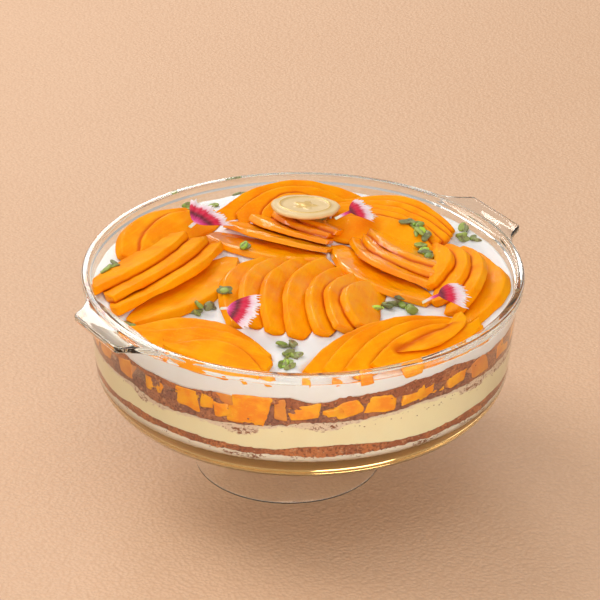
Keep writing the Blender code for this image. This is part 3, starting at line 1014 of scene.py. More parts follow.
@dataclass
class BlockRing:
    """Pieces of mango of all sizes, pressed against the glass."""

    name: str
    blocks: Sequence[Block]
    jitter: float
    push: float
    seed: int
    haze: float = 0.55          # how much paler a block is where it leaves the glass
    twist: float = 3.0          # degrees that a block is turned from the glass, at most
    cuts: int = 8
    smooth_passes: int = 3
    film: float = 2.2           # thickness of cream that hides a block's colour, in mm
    bump: tuple[float, float] = (7.0, 0.45)     # width and height of its bumps, in mm
    pit: tuple[float, float] = (2.2, 0.15)

    def add_block(self, shape: bmesh.types.BMesh, block: Block, dice: random.Random) -> None:
        """Adds one block, with rounded edges, flat where it touches the wall.

        Args:
            shape: the bmesh that takes it.
            block: its place and size.
            dice: for its corners and its tilt.
        """
        made = bmesh.ops.create_cube(shape, size=1.0)["verts"]
        for vert in made:
            vert.co += Vector([dice.uniform(-1, 1) for _ in range(3)]) * self.jitter
        edges = list({edge for vert in made for edge in vert.link_edges})
        bmesh.ops.subdivide_edges(shape, edges=edges, cuts=self.cuts, use_grid_fill=True)
        verts = list({vert for vert in shape.verts if vert.index < 0 or not vert.tag})
        for _ in range(self.smooth_passes):
            bmesh.ops.smooth_vert(shape, verts=verts, factor=0.5, use_axis_x=True,
                                  use_axis_y=True, use_axis_z=True)
        turn = math.radians(block.angle) - math.pi / 2 + SERVING_TURN
        middle = (block.low + block.high) / 2
        wall = float(inner_wall_r(np.array(middle * MM))) / MM - block.behind
        size = Vector((block.depth * 1.1, block.width * 0.96, (block.high - block.low) * 1.04))
        yaw, nod = dice.uniform(-self.twist, self.twist), dice.uniform(-self.twist, self.twist)
        pose = (Matrix.Rotation(turn, 4, "Z")
                @ Matrix.Translation(Vector((wall - block.depth * 0.42, 0, middle)))
                @ Matrix.Rotation(math.radians(yaw), 4, "Z")
                @ Matrix.Rotation(math.radians(nod * 0.6), 4, "Y")
                @ Matrix.Rotation(math.radians(block.slant), 4, "X")
                @ Matrix.Diagonal((*size, 1)))
        bmesh.ops.transform(shape, matrix=Matrix.Scale(MM, 4) @ pose, verts=verts)
        for vert in verts:
            vert.tag = True

    def build(self, finish: bpy.types.Material, nodes: Sequence[str] = ()) -> None:
        """Makes and dresses all the blocks as one piece.

        Args:
            finish: their material.
            nodes: the frame's nodes that the piece stands for.
        """
        dice = random.Random(self.seed)
        shape = bmesh.new()
        veil = []
        for block in self.blocks:
            before = len(shape.verts)
            self.add_block(shape, block, dice)
            veil += [block.veil] * (len(shape.verts) - before)
        mesh = mesh_of(shape, self.name)
        mesh.update()
        points = points_of(mesh)
        bumps = sum(Relief(self.seed + step, wide * MM)(points) * high
                    for step, (wide, high) in enumerate((self.bump, self.pit)))
        points += normals_of(mesh) * bumps[:, None] * MM
        most = inner_wall_r(points[:, 2]) + self.push * MM
        apart = smooth_step(0.0, self.film, (most - radii(points)) / MM)
        hold_in(points, most)
        move_points(mesh, points)
        set_number(mesh, "veil", np.array(veil) + self.haze * apart)
        settle(show(self.name, mesh), finish, nodes)


FRONT_BLOCKS = (
    Block(-54, 11, 86, 95, 0.6), Block(-43, 14, 84.5, 96.0, 0.25), Block(-32.5, 16, 83, 96.6, 0.0),
    Block(-25.5, 8, 86, 93.5, 0.1), Block(-21.2, 10, 82.8, 91.5, 0.1, 12),
    Block(-20.2, 9, 91.5, 97, 0.6, 0, 10, 0.8), Block(-12.8, 22, 81.6, 96.8, 0.0, -8),
    Block(-5.2, 7, 85, 97, 0.6, 5, 12, 0.4), Block(0.5, 15, 85.6, 93.8, 0.0, 6),
    Block(7.5, 12, 86.2, 90.8, 0.0, 8), Block(12.5, 14, 87.2, 94.6, 0.0, 16),
    Block(21, 16, 85.8, 95.0, 0.0, -4), Block(30.5, 13, 88, 96.6, 0.1, 6),
    Block(37, 15, 88.6, 95.2, 0.1, 12), Block(45, 14, 89.6, 95.0, 0.2, 10),
)

WALL_MARKS = (
    Block(-39, 10, 105.2, 108.2, 0.0, 0, 3), Block(-11, 17, 104.9, 108.6, 0.0, 0, 3),
    Block(1, 4.5, 104.6, 108.0, 0.0, 0, 2), Block(9, 4.5, 105.2, 108, 0.1, 0, 2),
    Block(17, 6.5, 104.2, 108.6, 0.0, 0, 3), Block(30, 11, 104.4, 108.8, 0.0, 6, 3),
    Block(45, 13, 103.4, 107.4, 0.0, 8, 3),
)


@dataclass
class Filling:
    """Everything in the bowl under the slices."""

    floor: Boundary = Boundary(58.75, 0.0, 0.0, 0)
    base: Boundary = Boundary(63.0, 0.6, 0.4, 11)
    lower: Boundary = Boundary(67.4, 1.3, 0.45, 12, 0.0, (
        (-44, 67.6), (-30, 67.8), (-19, 66.2), (-8, 67.1), (5, 69.2), (18, 68.6), (33, 65.6),
        (44, 67.0)))
    custard: Boundary = Boundary(83.2, 0.9, 0.6, 13, 1.0, (
        (-44, 80.0), (-30, 79.0), (-20, 79.6), (-8, 81.9), (5, 83.4), (18, 83.8), (33, 85.4),
        (44, 86.0)))
    middle: Boundary = Boundary(88.6, 1.3, 0.7, 14)
    cubes: Boundary = Boundary(94.3, 1.3, 0.8, 15, 0.0, (
        (-40, 93.0), (-29, 91.2), (-21, 94.4), (-11, 95.0), (-3, 92.8), (5, 92.3), (11, 94.0),
        (25, 93.8), (37, 94.2)))
    upper: Boundary = Boundary(98.0, 1.5, 0.6, 16, 0.0, (
        (-44, 96.0), (-31, 94.6), (-23, 97.0), (-15, 97.0), (-8, 97.6), (-3, 98.8), (1, 95.9),
        (5, 95.7), (11, 98.0), (17, 98.9), (24, 98.4), (31, 101.2), (44, 102.0)))
    unseen: tuple[float, float] = (54.0, 298.0)     # degrees where cubes are spread evenly
    usual_r: float = 107.0      # of the wall there, in millimetres

    def build(self) -> None:
        """Makes and dresses the layers from the floor up to the upper sponge."""
        cream = SoftCream("base_cream", srgb(238, 228, 212), srgb(224, 210, 188), 1.0)
        brown = Sponge("sponge", srgb(196, 118, 68), srgb(160, 90, 58), srgb(112, 60, 40))
        dark = Sponge("soaked_sponge", srgb(178, 114, 80), srgb(142, 92, 76), srgb(102, 62, 52))
        custard = SoftCream("custard", srgb(242, 232, 194), srgb(236, 222, 178), 3.6,
                            srgb(226, 206, 184))
        core = Sponge("soaked_core", srgb(176, 116, 82), srgb(146, 96, 78), srgb(102, 62, 52))
        for layer, finish in (
            (Layer("base_cream_layer", self.floor, self.base, "whipped_cream", ("base_cream",),
                   push=0.25, rough=0.05, seed=21), cream),
            (Layer("lower_sponge_layer", self.base, self.lower, "sponge", ("lower_sponge",),
                   rough=0.14, grain=1.4, seed=22), brown),
            (Layer("custard_layer", self.lower, self.custard, "custard", ("custard",),
                   push=0.25, rough=0.03, grain=6.0, seed=23), custard),
            (Layer("middle_sponge_layer", self.custard, self.middle, "sponge",
                   ("middle_sponge",), rough=0.16, grain=1.5, seed=24), dark),
            (Layer("mango_cubes_core", self.middle, self.cubes, "sponge", ("mango_cubes",),
                   push=0.2, rough=0.16, grain=1.5, dent=2.6, seed=25), core),
            (Layer("upper_sponge_layer", self.cubes, self.upper, "sponge", ("upper_sponge",),
                   rough=0.2, grain=1.5, seed=26), brown),
        ):
            layer.build(finish.material())
        self.build_blocks()

    def build_blocks(self) -> None:
        """The mango cubes, all round the wall."""
        dice = random.Random(5)
        blocks = list(FRONT_BLOCKS)
        angle, last = self.unseen
        while angle < last:
            width = dice.uniform(8, 19)
            low = dice.uniform(84.5, 88.5)
            blocks.append(Block(angle, width, low, low + dice.uniform(6, 11),
                                max(0.0, dice.uniform(-0.3, 0.7)), dice.uniform(-10, 10)))
            angle += math.degrees(width / self.usual_r) + dice.uniform(-1, 4.5)
        marks = BlockRing("mango_wall_marks", WALL_MARKS, jitter=0.2, push=0.62, seed=33,
                          haze=0.0, twist=0.0)
        cubes = BlockRing("mango_cubes_blocks", blocks, jitter=0.2, push=0.6, seed=31)
        marks.build(CutMango().material())
        cubes.build(CutMango().material(), ["mango_cubes"])


# ---------------------------------------------------------------- mango slices


class Glaze(Enum):
    """How wet a fan of slices is."""

    DRY = 0.0
    MOIST = 0.35
    WET = 1.0


@dataclass(frozen=True)
class Lay:
    """How one fan is laid and drawn out, in millimetres and shares."""

    broaden: float              # each slice, under the one that lies on it
    last: float                 # the slice on top, which shows its whole face
    glaze: Glaze = Glaze.DRY
    flatten: float = 0.0        # share of the lean that is taken off
    rest: float = 0.7           # and off the first slice, which lies on the cream
    bow: float = 0.0            # how far the first slice's edge is drawn out
    last_bow: float = 0.0       # and the last slice's
    lengthen: float = 1.05
    first_length: float = 0.0   # 0 where it is as the others
    last_length: float = 1.05
    shift: tuple[float, float] = (0.0, 0.0)   # to the right and away
    sink: float = 0.0
    last_sink: float = 0.0
    step: float = 0.0           # how much higher each slice lies than the one before


@dataclass
class Slices:
    """The fans of mango slices on top, softened from the frame's own solids."""

    fans: dict[str, Lay]
    swell: float = 0.12
    wide: float = 0.4
    middling: float = 0.16
    fine: float = 0.1
    crease: float = 0.7
    levels: int = 3
    reach: float = 109.2 * MM
    # Painted shade: within this distance of a neighbour, a slice is painted darker, for the shade
    # in the creases.
    contact: float = 1.8 * MM   # how near a neighbour a slice is darker
    nearby: float = 3.0 * MM

    def fan_of(self, node: str) -> str:
        """The name of the fan that a slice belongs to."""
        return node.removeprefix("mango_").rsplit("_", 1)[0]

    def broadened(self, points: np.ndarray, node: str) -> np.ndarray:
        """Draws a slice out under the one that lies on it, and up to the glass at most.

        Args:
            points: the slice's vertices.
            node: its name in the frame.

        Returns:
            The vertices, moved.
        """
        fan, number = node.rsplit("_", 1)
        lay = self.fans[self.fan_of(node)]
        first = number == "1"
        last = f"{fan}_{int(number) + 1}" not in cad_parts
        flat, axes = lie_of(points)
        u, v = flat @ axes[:, 1], flat @ axes[:, 0]
        down = axes[:, 0]
        if np.polyfit(v, points[:, 2], 1)[0] > 0:
            v, down = -v, -down
        fall = np.polyfit(v, points[:, 2], 1)[0]
        share = (v - v.min()) / (v.max() - v.min())
        more = ((lay.last if last else lay.broaden) * share - 0.7 * (1 - share)) * MM
        bow = lay.bow if first else lay.last_bow if last else 0.0
        more -= bow * MM * (1 - share) * np.clip(1 - (u / np.abs(u).max()) ** 2, 0, 1)
        drawn = v + more
        stretch = (lay.last_length if last else first * lay.first_length or lay.lengthen) - 1
        sink = ((lay.last_sink if last else lay.sink) - lay.step * (int(number) - 1)) * MM
        moved = points.copy()
        moved[:, :2] += more[:, None] * down + (u * stretch)[:, None] * axes[:, 1]
        moved[:, :2] += np.array(served(*lay.shift))[:2]
        moved[:, 2] += more * fall - lay.flatten * fall * (drawn - drawn.min()) - sink
        if first:
            moved[:, 2] += lay.rest * (1 - lay.flatten) * fall * (drawn.max() - drawn)
        hold_in(moved, np.minimum(self.reach, inner_wall_r(moved[:, 2]) + 0.5 * MM))
        return moved

    def softened(self, node: str, seed: int) -> bpy.types.Object:
        """A copy of one slice with round rims, an uneven surface and fibres along it.

        Args:
            node: the slice's node.
            seed: chooses its unevenness.

        Returns:
            The undressed piece.
        """
        shape = bmesh.new()
        shape.from_mesh(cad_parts[node].data)
        bmesh.ops.remove_doubles(shape, verts=shape.verts, dist=1e-5)
        bmesh.ops.join_triangles(shape, faces=shape.faces, angle_face_threshold=0.6,
                                 angle_shape_threshold=1.2)
        sharp = shape.edges.layers.float.new("crease_edge")
        for edge in shape.edges:
            edge[sharp] = self.crease if edge.calc_face_angle(0) > 0.9 else 0.0
        made = show(node + "_flesh", mesh_of(shape, node + "_flesh"))
        round_off = made.modifiers.new("rounding", "SUBSURF")
        round_off.levels = round_off.render_levels = self.levels
        bake_modifiers(made)
        mesh = made.data
        points, out = self.broadened(points_of(mesh), node), normals_of(mesh)
        flat, axes = lie_of(points)
        uv = np.column_stack((flat @ axes[:, 1], flat @ axes[:, 0] + 0.01 * seed))
        lift = (self.swell + self.wide * Relief(seed, 16 * MM)(points)
                + self.middling * Relief(seed + 200, 7 * MM)(points)
                + self.fine * Relief(seed + 400, 3.5 * MM)(points))
        move_points(mesh, points + out * lift[:, None] * MM)
        set_uv(mesh, uv)
        return made

    def build(self) -> list[bpy.types.Object]:
        """Makes and dresses every slice.

        Returns:
            The slices.
        """
        finishes = {glaze: MangoFlesh("mango_" + glaze.name.lower(), glaze.value).material()
                    for glaze in Glaze}
        nodes = sorted(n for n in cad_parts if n.startswith("mango_") and n != "mango_cubes")
        pieces = {node: self.softened(node, seed + 1) for seed, node in enumerate(nodes)}
        trees = {node: tree_of([piece]) for node, piece in pieces.items()}
        made = []
        for node, piece in pieces.items():
            fan, number = node.rsplit("_", 1)
            beside = [f"{fan}_{int(number) + step}" for step in (-1, 1)]
            near = [trees[name] for name in beside if name in trees]
            gaps = [min((tree.find_nearest(point, self.nearby)[3] or self.nearby for tree in near),
                        default=self.nearby) for point in map(Vector, points_of(piece.data))]
            # Painted shade in the creases: the nearer a neighbouring slice, the darker this one is
            # painted.
            set_number(piece.data, "contact",
                       1 - smooth_step(0.2 * MM, self.contact, np.array(gaps)))
            finish = finishes[self.fans[self.fan_of(node)].glaze]
            made.append(settle(piece, finish, [node]))
        return made


def tree_of(pieces: Sequence[bpy.types.Object]) -> BVHTree:
    """A search tree over the surfaces of some pieces.

    Args:
        pieces: objects that sit at the origin.

    Returns:
        The tree.
    """
    points, faces, count = [], [], 0
    for piece in pieces:
        points.append(points_of(piece.data))
        faces += [[corner + count for corner in face.vertices] for face in piece.data.polygons]
        count += len(points[-1])
    return BVHTree.FromPolygons(np.concatenate(points).tolist(), faces)


@dataclass
class CreamTop:
    """The whipped cream: a soft bed under the slices, high against the glass."""

    low: Boundary
    edge: Boundary = Boundary(104.8, 0.6, 0.3, 61, 0.0, (
        (-60, 106.8), (-31, 108.3), (-15, 109.2), (-2, 107.0), (11, 107.4), (25, 106.9),
        (41, 106.0), (60, 105.4)))
    level: float = 104.4
    bank: float = 3.0
    rings: int = 110
    steps: int = 400
    rows: int = 12
    bed_share: float = 0.967    # of the radius, which the bed of the slices takes up
    climb_from: float = 0.945   # where the cream starts to climb the glass

    def profile(self) -> list[tuple[float, float]]:
        """The outline with radius and height from 0 to 1.

        Returns:
            (radius, height) points, in order.
        """
        side = [(1.0, row / self.rows) for row in range(self.rows + 1)]
        top = [(ring / self.rings, 1.0) for ring in range(self.rings - 1, -1, -1)]
        return [(0.0, 0.0), (0.5, 0.0), (0.9, 0.0), *side, *top]

    @staticmethod
    def beside(z: np.ndarray) -> tuple[np.ndarray, ...]:
        """A grid's neighbours: to the left and right, then further out and in."""
        return (np.roll(z, 1, 1), np.roll(z, -1, 1),
                np.vstack((z[1:], z[-1:])), np.vstack((z[:1], z[:-1])))

    def bed(self, x: np.ndarray, y: np.ndarray, slices: BVHTree) -> np.ndarray:
        """Finds the top's height on a grid, filled up under the slices.

        Args:
            x: the grid's x in metres, a row for each ring.
            y: its y in metres.
            slices: the search tree of the slices.

        Returns:
            A height in metres for each place.
        """
        points = np.column_stack((x.ravel(), y.ravel(), np.zeros(x.size)))
        base = (self.level + 0.5 * Relief(71, 20 * MM)(points) + 0.22 * Relief(72, 6 * MM)(points))
        base = base.reshape(x.shape) * MM
        roof = np.full(x.shape, np.inf)
        for index in np.ndindex(x.shape):
            hit = slices.ray_cast(Vector((x[index], y[index], 0.1)), Vector((0, 0, 1)), 0.03)[0]
            if hit is not None:
                roof[index] = hit.z - 0.2 * MM
        z = np.where(np.isfinite(roof), np.maximum(base, roof), base)
        ring_step = WALL_TOP_R / self.rings
        turn_step = np.hypot(x, y) * math.tau / self.steps + 1e-6
        for _ in range(4):
            left, right, outer, inner = self.beside(z)
            z = np.minimum(np.maximum.reduce([
                z, left - self.bank * turn_step, right - self.bank * turn_step,
                outer - self.bank * ring_step, inner - self.bank * ring_step]), roof)
        for _ in range(3):
            left, right, outer, inner = self.beside(z)
            z = np.minimum((z + left + right + outer + inner) / 5, roof)
        return z

    def build(self, slices: BVHTree) -> bpy.types.Object:
        """Makes and dresses the cream.

        Args:
            slices: the search tree of the slices that lie on it.

        Returns:
            The piece.
        """
        name = "whipped_cream_top"
        mesh = mesh_of(turned(self.profile(), self.steps), name)
        units = points_of(mesh)
        angle, turn = serving_angle(units), turns_of(units)
        reach, share = radii(units), units[:, 2]
        low, edge = self.low.at(angle), self.edge.at(angle)
        z = low + (edge - low) * share
        wall = inner_wall_r(z)
        rings = np.arange(self.rings + 1)[:, None] / self.rings
        turns = np.arange(self.steps)[None, :] * math.tau / self.steps
        across = rings * WALL_TOP_R * self.bed_share
        grid = self.bed(across * np.cos(turns), across * np.sin(turns), slices)
        ring = np.rint(reach * self.rings).astype(int)
        step = np.rint(turn % math.tau / math.tau * self.steps).astype(int) % self.steps
        on_top = share > 0.999
        climb = smooth_step(self.climb_from, 1.0, reach) ** 1.5
        top_z = grid[ring, step] * (1 - climb) + edge * climb
        z = np.where(on_top, np.where(reach < 0.999, top_z, edge), z)
        fine = Relief(73, 5 * MM)(polar(wall, turn, z))
        near = smooth_step(0.98, 1.0, reach)
        r = reach * wall + near * (0.35 + 0.05 * fine) * MM
        move_points(mesh, polar(r, turn, z))
        cream = SoftCream("whipped_cream", srgb(234, 234, 234), srgb(222, 220, 218))
        return settle(show(name, mesh), cream.material(), ["whipped_cream"])


# ---------------------------------------------------------------- garnish


@dataclass(frozen=True)
class Heap:
    """A scatter of pistachio pieces: where, from the serving side, how wide and how many."""

    x: float
    y: float
    wide: float
    deep: float
    count: int
    turn: float = 0.0


@dataclass
class Pistachios:
    """Slivers and split kernels on the cream between the fans."""

    heaps: tuple[Heap, ...] = (
        Heap(-101, 7, 3.5, 7, 5), Heap(-89, -50, 3, 3, 2), Heap(-49, -30, 7, 2.5, 5, 38),
        Heap(-41, -22, 4, 2, 3, 38), Heap(-31, 27, 1.5, 3, 2), Heap(4, 60, 6, 3, 6),
        Heap(59, 46, 5, 5, 6), Heap(64, 36, 5, 6, 7), Heap(66, 21, 3, 6, 5),
        Heap(85, 63, 2, 2, 2), Heap(88, 50, 5, 4, 5), Heap(47, -24, 7, 3.5, 6),
        Heap(38, -30, 2, 1.5, 1), Heap(56, -30, 4, 2, 3), Heap(-7, -68, 4, 3, 4),
        Heap(-6, -80, 4, 4, 6), Heap(-8, -90, 4, 3, 4), Heap(-62, 86, 2, 2, 2),
        Heap(-49, 89, 2, 2, 1), Heap(-34, 104, 2, 1.5, 2),
    )
    seed: int = 8
    slivers: float = 0.35       # share of thin slivers among the split kernels
    above: float = 0.13         # a height over everything, in metres
    bare: float = 0.104         # the ground where nothing is hit, in metres

    def add_nut(self, shape: bmesh.types.BMesh, dice: random.Random, ground: BVHTree,
                heap: Heap) -> float:
        """Adds one piece where it lands.

        Args:
            shape: the bmesh that takes it.
            dice: for its size and place.
            ground: what it lies on.
            heap: where it falls.

        Returns:
            Its tone.
        """
        reach, way = math.sqrt(dice.random()), dice.uniform(0, math.tau)
        turn = math.radians(heap.turn)
        dx, dy = heap.wide * reach * math.cos(way), heap.deep * reach * math.sin(way)
        place = served(heap.x + dx * math.cos(turn) - dy * math.sin(turn),
                       heap.y + dx * math.sin(turn) + dy * math.cos(turn))
        sliver = dice.random() < self.slivers
        length = dice.uniform(6.5, 10.0) if sliver else dice.uniform(5.5, 8.5)
        width = dice.uniform(2.2, 3.0) if sliver else dice.uniform(3.6, 5.0)
        thick = dice.uniform(1.8, 2.6) if sliver else dice.uniform(2.8, 3.8)
        verts = bmesh.ops.create_icosphere(shape, subdivisions=3, radius=0.5)["verts"]
        cut = dice.uniform(-0.05, 0.3)
        for vert in verts:
            x, _, z = vert.co
            vert.co.z = min(z, cut)
            vert.co.y += 0.16 * (4 * x * x - 0.5) * (1 if sliver else 0.4)
        spin = Euler((dice.uniform(-0.8, 0.8), dice.uniform(-0.3, 0.3), dice.uniform(0, math.tau)))
        if dice.random() < 0.3:
            spin.x += math.pi
        pose = spin.to_matrix().to_4x4() @ Matrix.Diagonal((length, width, thick, 1))
        bmesh.ops.transform(shape, matrix=Matrix.Scale(MM, 4) @ pose, verts=verts)
        hit = ground.ray_cast(Vector((place.x, place.y, self.above)), Vector((0, 0, -1)))[0]
        floor = hit.z if hit is not None else self.bare
        lowest = min(vert.co.z for vert in verts)
        bmesh.ops.translate(shape, verts=verts,
                            vec=(place.x, place.y, floor - lowest * dice.uniform(0.5, 0.95)))
        return dice.random()

    def build(self, ground: BVHTree) -> None:
        """Makes and dresses all the pieces as one mesh.

        Args:
            ground: what the pieces lie on.
        """
        dice = random.Random(self.seed)
        shape = bmesh.new()
        tones = []
        for heap in self.heaps:
            for _ in range(heap.count):
                before = len(shape.verts)
                tone = self.add_nut(shape, dice, ground, heap)
                tones += [tone] * (len(shape.verts) - before)
        mesh = mesh_of(shape, "pistachio_pieces")
        points = points_of(mesh)
        bumps = Relief(81, 2.2 * MM)(points) * 0.22
        move_points(mesh, points + normals_of(mesh) * bumps[:, None] * MM)
        mesh.set_sharp_from_angle(angle=math.radians(48))
        set_number(mesh, "tone", np.array(tones))
        settle(show("pistachio_pieces", mesh), PistachioNut().material())


@dataclass
class Crumbs:
    """Loose sponge crumbs caught between the layers and the glass."""

    # height and spread in millimetres, and how many
    bands: tuple[tuple[float, float, int], ...] = ((81.4, 1.4, 240), (62.8, 0.7, 160))
    seed: int = 9

    def build(self) -> None:
        """Makes and dresses all the crumbs as one mesh."""
        dice = random.Random(self.seed)
        shape = bmesh.new()
        for level, spread, count in self.bands:
            for _ in range(count):
                turn = dice.uniform(0, math.tau)
                z = (level + dice.gauss(0, spread)) * MM
                size = dice.uniform(0.5, 1.5) * MM
                r = float(inner_wall_r(np.array(z))) + 0.35 * MM - size * 0.36
                verts = bmesh.ops.create_icosphere(shape, subdivisions=1, radius=size / 2)["verts"]
                for vert in verts:
                    vert.co *= dice.uniform(0.7, 1.25)
                    vert.co.z *= 0.6
                bmesh.ops.translate(shape, verts=verts,
                                    vec=(r * math.cos(turn), r * math.sin(turn), z))
        mesh = mesh_of(shape, "sponge_crumbs")
        points = points_of(mesh)
        hold_in(points, inner_wall_r(points[:, 2]) + 0.55 * MM)
        move_points(mesh, points)
        finish = Sponge("crumbs", srgb(150, 84, 50), srgb(118, 64, 40), srgb(92, 50, 34))
        settle(show("sponge_crumbs", mesh), finish.material())


@dataclass
class Medallion:
    """The chocolate medallion: an uneven disc with a raised ring round a small blossom."""

    radius: float = 18.4 * MM
    thick: float = 2.6 * MM
    ring_r: float = 13.6 * MM
    ring_wide: float = 0.9 * MM
    ring_high: float = 0.55 * MM
    blossom_r: float = 8.0 * MM
    place: tuple[float, float, float] = (1.0, 62.0, 119.2)
    tilt: tuple[float, float] = (math.radians(-8.0), math.radians(2.0))
    rings: int = 40
    steps: int = 144

    def build(self) -> None:
        """Makes and dresses the medallion."""
        inner = self.radius - 1.2 * MM
        profile = [(inner * i / self.rings, 0.0) for i in range(self.rings + 1)]
        profile += arc(self.radius - 1.15 * MM, -1.15 * MM, 1.15 * MM, 85, -40, 7)
        profile += [(self.radius - 1.4 * MM, -self.thick), (0, -self.thick)]
        mesh = mesh_of(turned(profile, self.steps), "medallion_chocolate")
        points = points_of(mesh)
        r, turn = radii(points), turns_of(points)
        top = points[:, 2] > -0.2 * MM
        ring = np.exp(-((r - self.ring_r) / self.ring_wide) ** 2)
        petals = np.cos(2.5 * turn) ** 2 * 0.75 + 0.25
        bloom = smooth_step(1.0, 0.75, r / (self.blossom_r * (0.45 + 0.55 * petals)))
        heart = np.exp(-(r / (1.8 * MM)) ** 2)
        raised = ring * self.ring_high + (bloom * 0.35 + heart * 0.25) * MM
        dip = smooth_step(self.ring_r, self.ring_r - 1.5 * MM, r) * 0.3 * MM
        uneven = Relief(91, 6 * MM)(points) * 0.16 * MM
        points[:, 2] += np.where(top, raised - dip + uneven, uneven)
        lumpy = 1 + smooth_step(0.8, 1.0, r / self.radius) * (
            0.018 * np.sin(3 * turn + 1) + 0.012 * np.sin(7 * turn) + 0.006 * np.sin(17 * turn))
        points[:, :2] *= lumpy[:, None]
        pose = (Matrix.Translation(served(*self.place))
                @ Euler((*self.tilt, SERVING_TURN)).to_matrix().to_4x4())
        gold = np.where(top, np.clip(ring + bloom * 0.8 + heart, 0, 1)
                        * smooth_step(self.radius, self.ring_r, r), 0)
        move_points(mesh, points)
        mesh.transform(pose)
        set_number(mesh, "gold", gold)
        settle(show("medallion_chocolate", mesh), GoldChocolate().material(),
               ["chocolate_medallion"])


@dataclass(frozen=True)
class Petal:
    """A single fringed petal, in millimetres and degrees, from the serving side."""

    node: str
    claw: tuple[float, float]
    heading: float
    length: float
    width: float
    claw_length: float
    height: float
    pitch: float
    roll: float
    arch: float


@dataclass
class Petals:
    """Four single petals laid on the slices."""

    petals: tuple[Petal, ...] = (
        Petal("petal_left", (-60, 38), 56, 27, 27, 5, 117.4, 2, 16, 1.4),
        Petal("petal_front", (-41.5, -53.5), -16, 23, 25, 4, 118.0, 2, 16, 1.4),
        Petal("petal_back", (17, 47), 28, 25, 21, 9, 118.6, 2, 14, 2.5),
        Petal("petal_right", (60.5, -43), 10, 27, 22, 9, 116.5, 6, 12, 4.0),
    )
    rows: int = 44
    columns: int = 112
    thick: float = 0.28 * MM
    fringe: float = 0.25

    def build_petal(self, petal: Petal, seed: int, finish: bpy.types.Material) -> None:
        """Makes and dresses one petal.

        Args:
            petal: its node, place and size.
            seed: chooses its fringe.
            finish: its material.
        """
        name = petal.node + "_bloom"
        shape = bmesh.new()
        bmesh.ops.create_grid(shape, x_segments=self.rows, y_segments=self.columns, size=1)
        bmesh.ops.recalc_face_normals(shape, faces=shape.faces)
        mesh = mesh_of(shape, name)
        units = points_of(mesh)
        along, across = (units[:, 0] + 1) / 2, units[:, 1]
        dice = random.Random(seed)
        teeth = np.zeros_like(across)
        for count, share in ((5, 0.3), (21, 0.4), (38, 0.3)):
            phase = dice.uniform(0, math.tau)
            teeth += share * np.abs(np.sin(count * across + phase)) ** 0.8
        t = along * (1 - self.fringe * teeth * smooth_step(0.62, 1.0, along))
        claw = petal.claw_length / petal.length
        opened = np.clip((t - claw) / (1 - claw), 0, 1)
        half = 0.9 + opened ** 0.6 * (petal.width * 0.57 - 0.9)
        x = petal.length * (t - 0.16 * across ** 2 * opened)
        y = half * across
        ruffle = 0.8 * opened ** 2 * np.sin(8 * across + seed) + 0.3 * opened * np.sin(
            17 * across + 2 * seed)
        z = petal.arch * (np.sin(math.pi * t) - 0.5 * across ** 2 * opened) + ruffle
        move_points(mesh, np.column_stack((x, y, z)) * MM)
        set_uv(mesh, np.column_stack((along, across)))
        pose = Euler((math.radians(petal.roll), -math.radians(petal.pitch),
                      math.radians(petal.heading) + SERVING_TURN)).to_matrix().to_4x4()
        mesh.transform(Matrix.Translation(served(*petal.claw, petal.height)) @ pose)
        made = show(name, mesh)
        blade = made.modifiers.new("thickness", "SOLIDIFY")
        blade.thickness = self.thick
        blade.offset = -1
        bake_modifiers(made)
        points = points_of(made.data)
        top = CAD_BOX[1][2] - 1.2 * MM
        high = np.maximum(points[:, 2] - top, 0)
        points[:, 2] -= high - MM * np.tanh(high / MM)
        move_points(made.data, points)
        settle(made, finish, [petal.node])

    def build(self) -> None:
        """Makes and dresses every petal."""
        finish = FringedPetal().material()
        for seed, petal in enumerate(self.petals):
            self.build_petal(petal, seed, finish)


# ---------------------------------------------------------------- studio


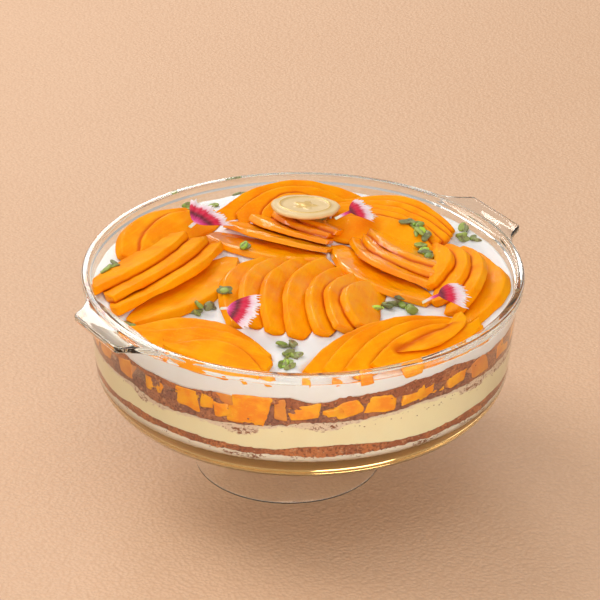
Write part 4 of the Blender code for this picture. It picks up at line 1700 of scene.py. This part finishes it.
@dataclass
class Studio:
    """The table, the lamps and the camera."""

    camera_at: tuple[float, float, float] = (-1.357, -1472.35, 879.79)
    forward: tuple[float, float, float] = (0.0, 0.88236, -0.47058)
    up: tuple[float, float, float] = (-0.00768, 0.47057, 0.88233)
    lens: float = 192.0
    table_half: float = 4.0
    surround: float = 0.48

    def table(self) -> None:
        """A flat table under everything."""
        shape = bmesh.new()
        bmesh.ops.create_grid(shape, x_segments=1, y_segments=1, size=self.table_half)
        made = show("table", mesh_of(shape, "table"))
        made.data.materials.append(TableTop().material())

    def lamp(self, name: str, at: tuple[float, float, float], size: float, power: float,
             colour: Colour) -> None:
        """A square soft lamp that faces the trifle.

        Args:
            name: of the lamp.
            at: where it is, in millimetres from the serving side.
            size: of its sides, in metres.
            power: in watts.
            colour: of its light.
        """
        light = bpy.data.lights.new(name, "AREA")
        light.shape = "SQUARE"
        light.size = size
        light.energy = power
        light.color = colour
        made = bpy.data.objects.new(name, light)
        place = served(*at)
        made.location = place
        made.rotation_euler = (served(0, 0, 90) - place).to_track_quat("-Z", "Y").to_euler()
        bpy.context.scene.collection.objects.link(made)

    def camera(self) -> None:
        """The camera, on the serving side."""
        seen = bpy.data.cameras.new("camera")
        seen.lens = self.lens
        seen.sensor_width = 36.0
        seen.clip_end = 20.0
        made = bpy.data.objects.new("camera", seen)
        turn = Matrix.Rotation(SERVING_TURN, 3, "Z")
        back = -(turn @ Vector(self.forward))
        up = turn @ Vector(self.up)
        right = up.cross(back)
        axes = Matrix((right, up, back)).transposed()
        made.matrix_world = Matrix.Translation(served(*self.camera_at)) @ axes.to_4x4()
        bpy.context.scene.collection.objects.link(made)
        bpy.context.scene.camera = made

    def sky(self) -> None:
        """An even, pale surround."""
        world = bpy.data.worlds.new("surround")
        world.use_nodes = True
        sky = world.node_tree.nodes["Background"]
        sky.inputs[0].default_value = (1.0, 0.97, 0.94, 1.0)
        sky.inputs[1].default_value = self.surround
        bpy.context.scene.world = world

    def build(self) -> None:
        """Sets everything up."""
        self.table()
        self.lamp("key", (-1350, 850, 1600), 1.2, 20.5, (1.0, 0.98, 0.95))
        self.lamp("front", (300, -1900, 700), 1.6, 22.0, (1.0, 0.97, 0.93))
        self.lamp("back", (-350, 1800, 1050), 0.55, 6.0, (1.0, 0.98, 0.95))
        self.lamp("top", (0, -100, 2000), 1.6, 7.0, (1.0, 0.98, 0.96))
        self.camera()
        self.sky()
        bpy.context.scene.view_settings.view_transform = "Standard"


def main() -> None:
    """Builds the pieces in order and notes the sizes."""
    logging.basicConfig(level=logging.INFO, format="%(name)s %(message)s")
    Studio().build()
    Glassware().build()
    filling = Filling()
    filling.build()
    slices = Slices({
        "back_left": Lay(7, 10, flatten=0.25, rest=0.3, bow=3.0, lengthen=1.1,
                         last_length=1.25, sink=0.5, last_sink=1.5),
        "left": Lay(7, 8, bow=3.0, lengthen=1.08, last_length=1.5, shift=(3.0, 3.0)),
        "front_left": Lay(6, 10, rest=0.5, bow=2.0, last_bow=1.0, sink=0.2, step=0.6),
        "middle": Lay(6, 8, Glaze.MOIST, rest=0.4, bow=3.0, lengthen=1.09, first_length=1.45,
                      last_length=1.1, shift=(-1.0, 2.5)),
        "upper_middle": Lay(8, 8, Glaze.WET, flatten=0.3, bow=1.0, lengthen=1.1,
                            last_length=1.6),
        "back": Lay(7, 8, rest=0.0, lengthen=1.2, last_length=1.9, shift=(1.0, 0.5)),
        "back_right": Lay(5, 12, flatten=0.2, rest=0.0, bow=1.0, last_length=1.15, step=0.4),
        "right_middle": Lay(8, 12, Glaze.WET, flatten=0.2, rest=0.5, lengthen=1.12,
                            last_length=1.7, shift=(-1.0, 0.5)),
        "right": Lay(6, 2, bow=4.0, lengthen=1.08, last_length=1.1),
        "front_right": Lay(6, 9, rest=0.5, bow=1.0, last_bow=2.5, lengthen=1.1,
                           last_length=1.1, sink=0.5, last_sink=3.2, step=0.8),
    }).build()
    cream = CreamTop(filling.upper).build(tree_of(slices))
    Pistachios().build(tree_of([*slices, cream]))
    Crumbs().build()
    Medallion().build()
    Petals().build()


if __name__ == "__main__":
    main()
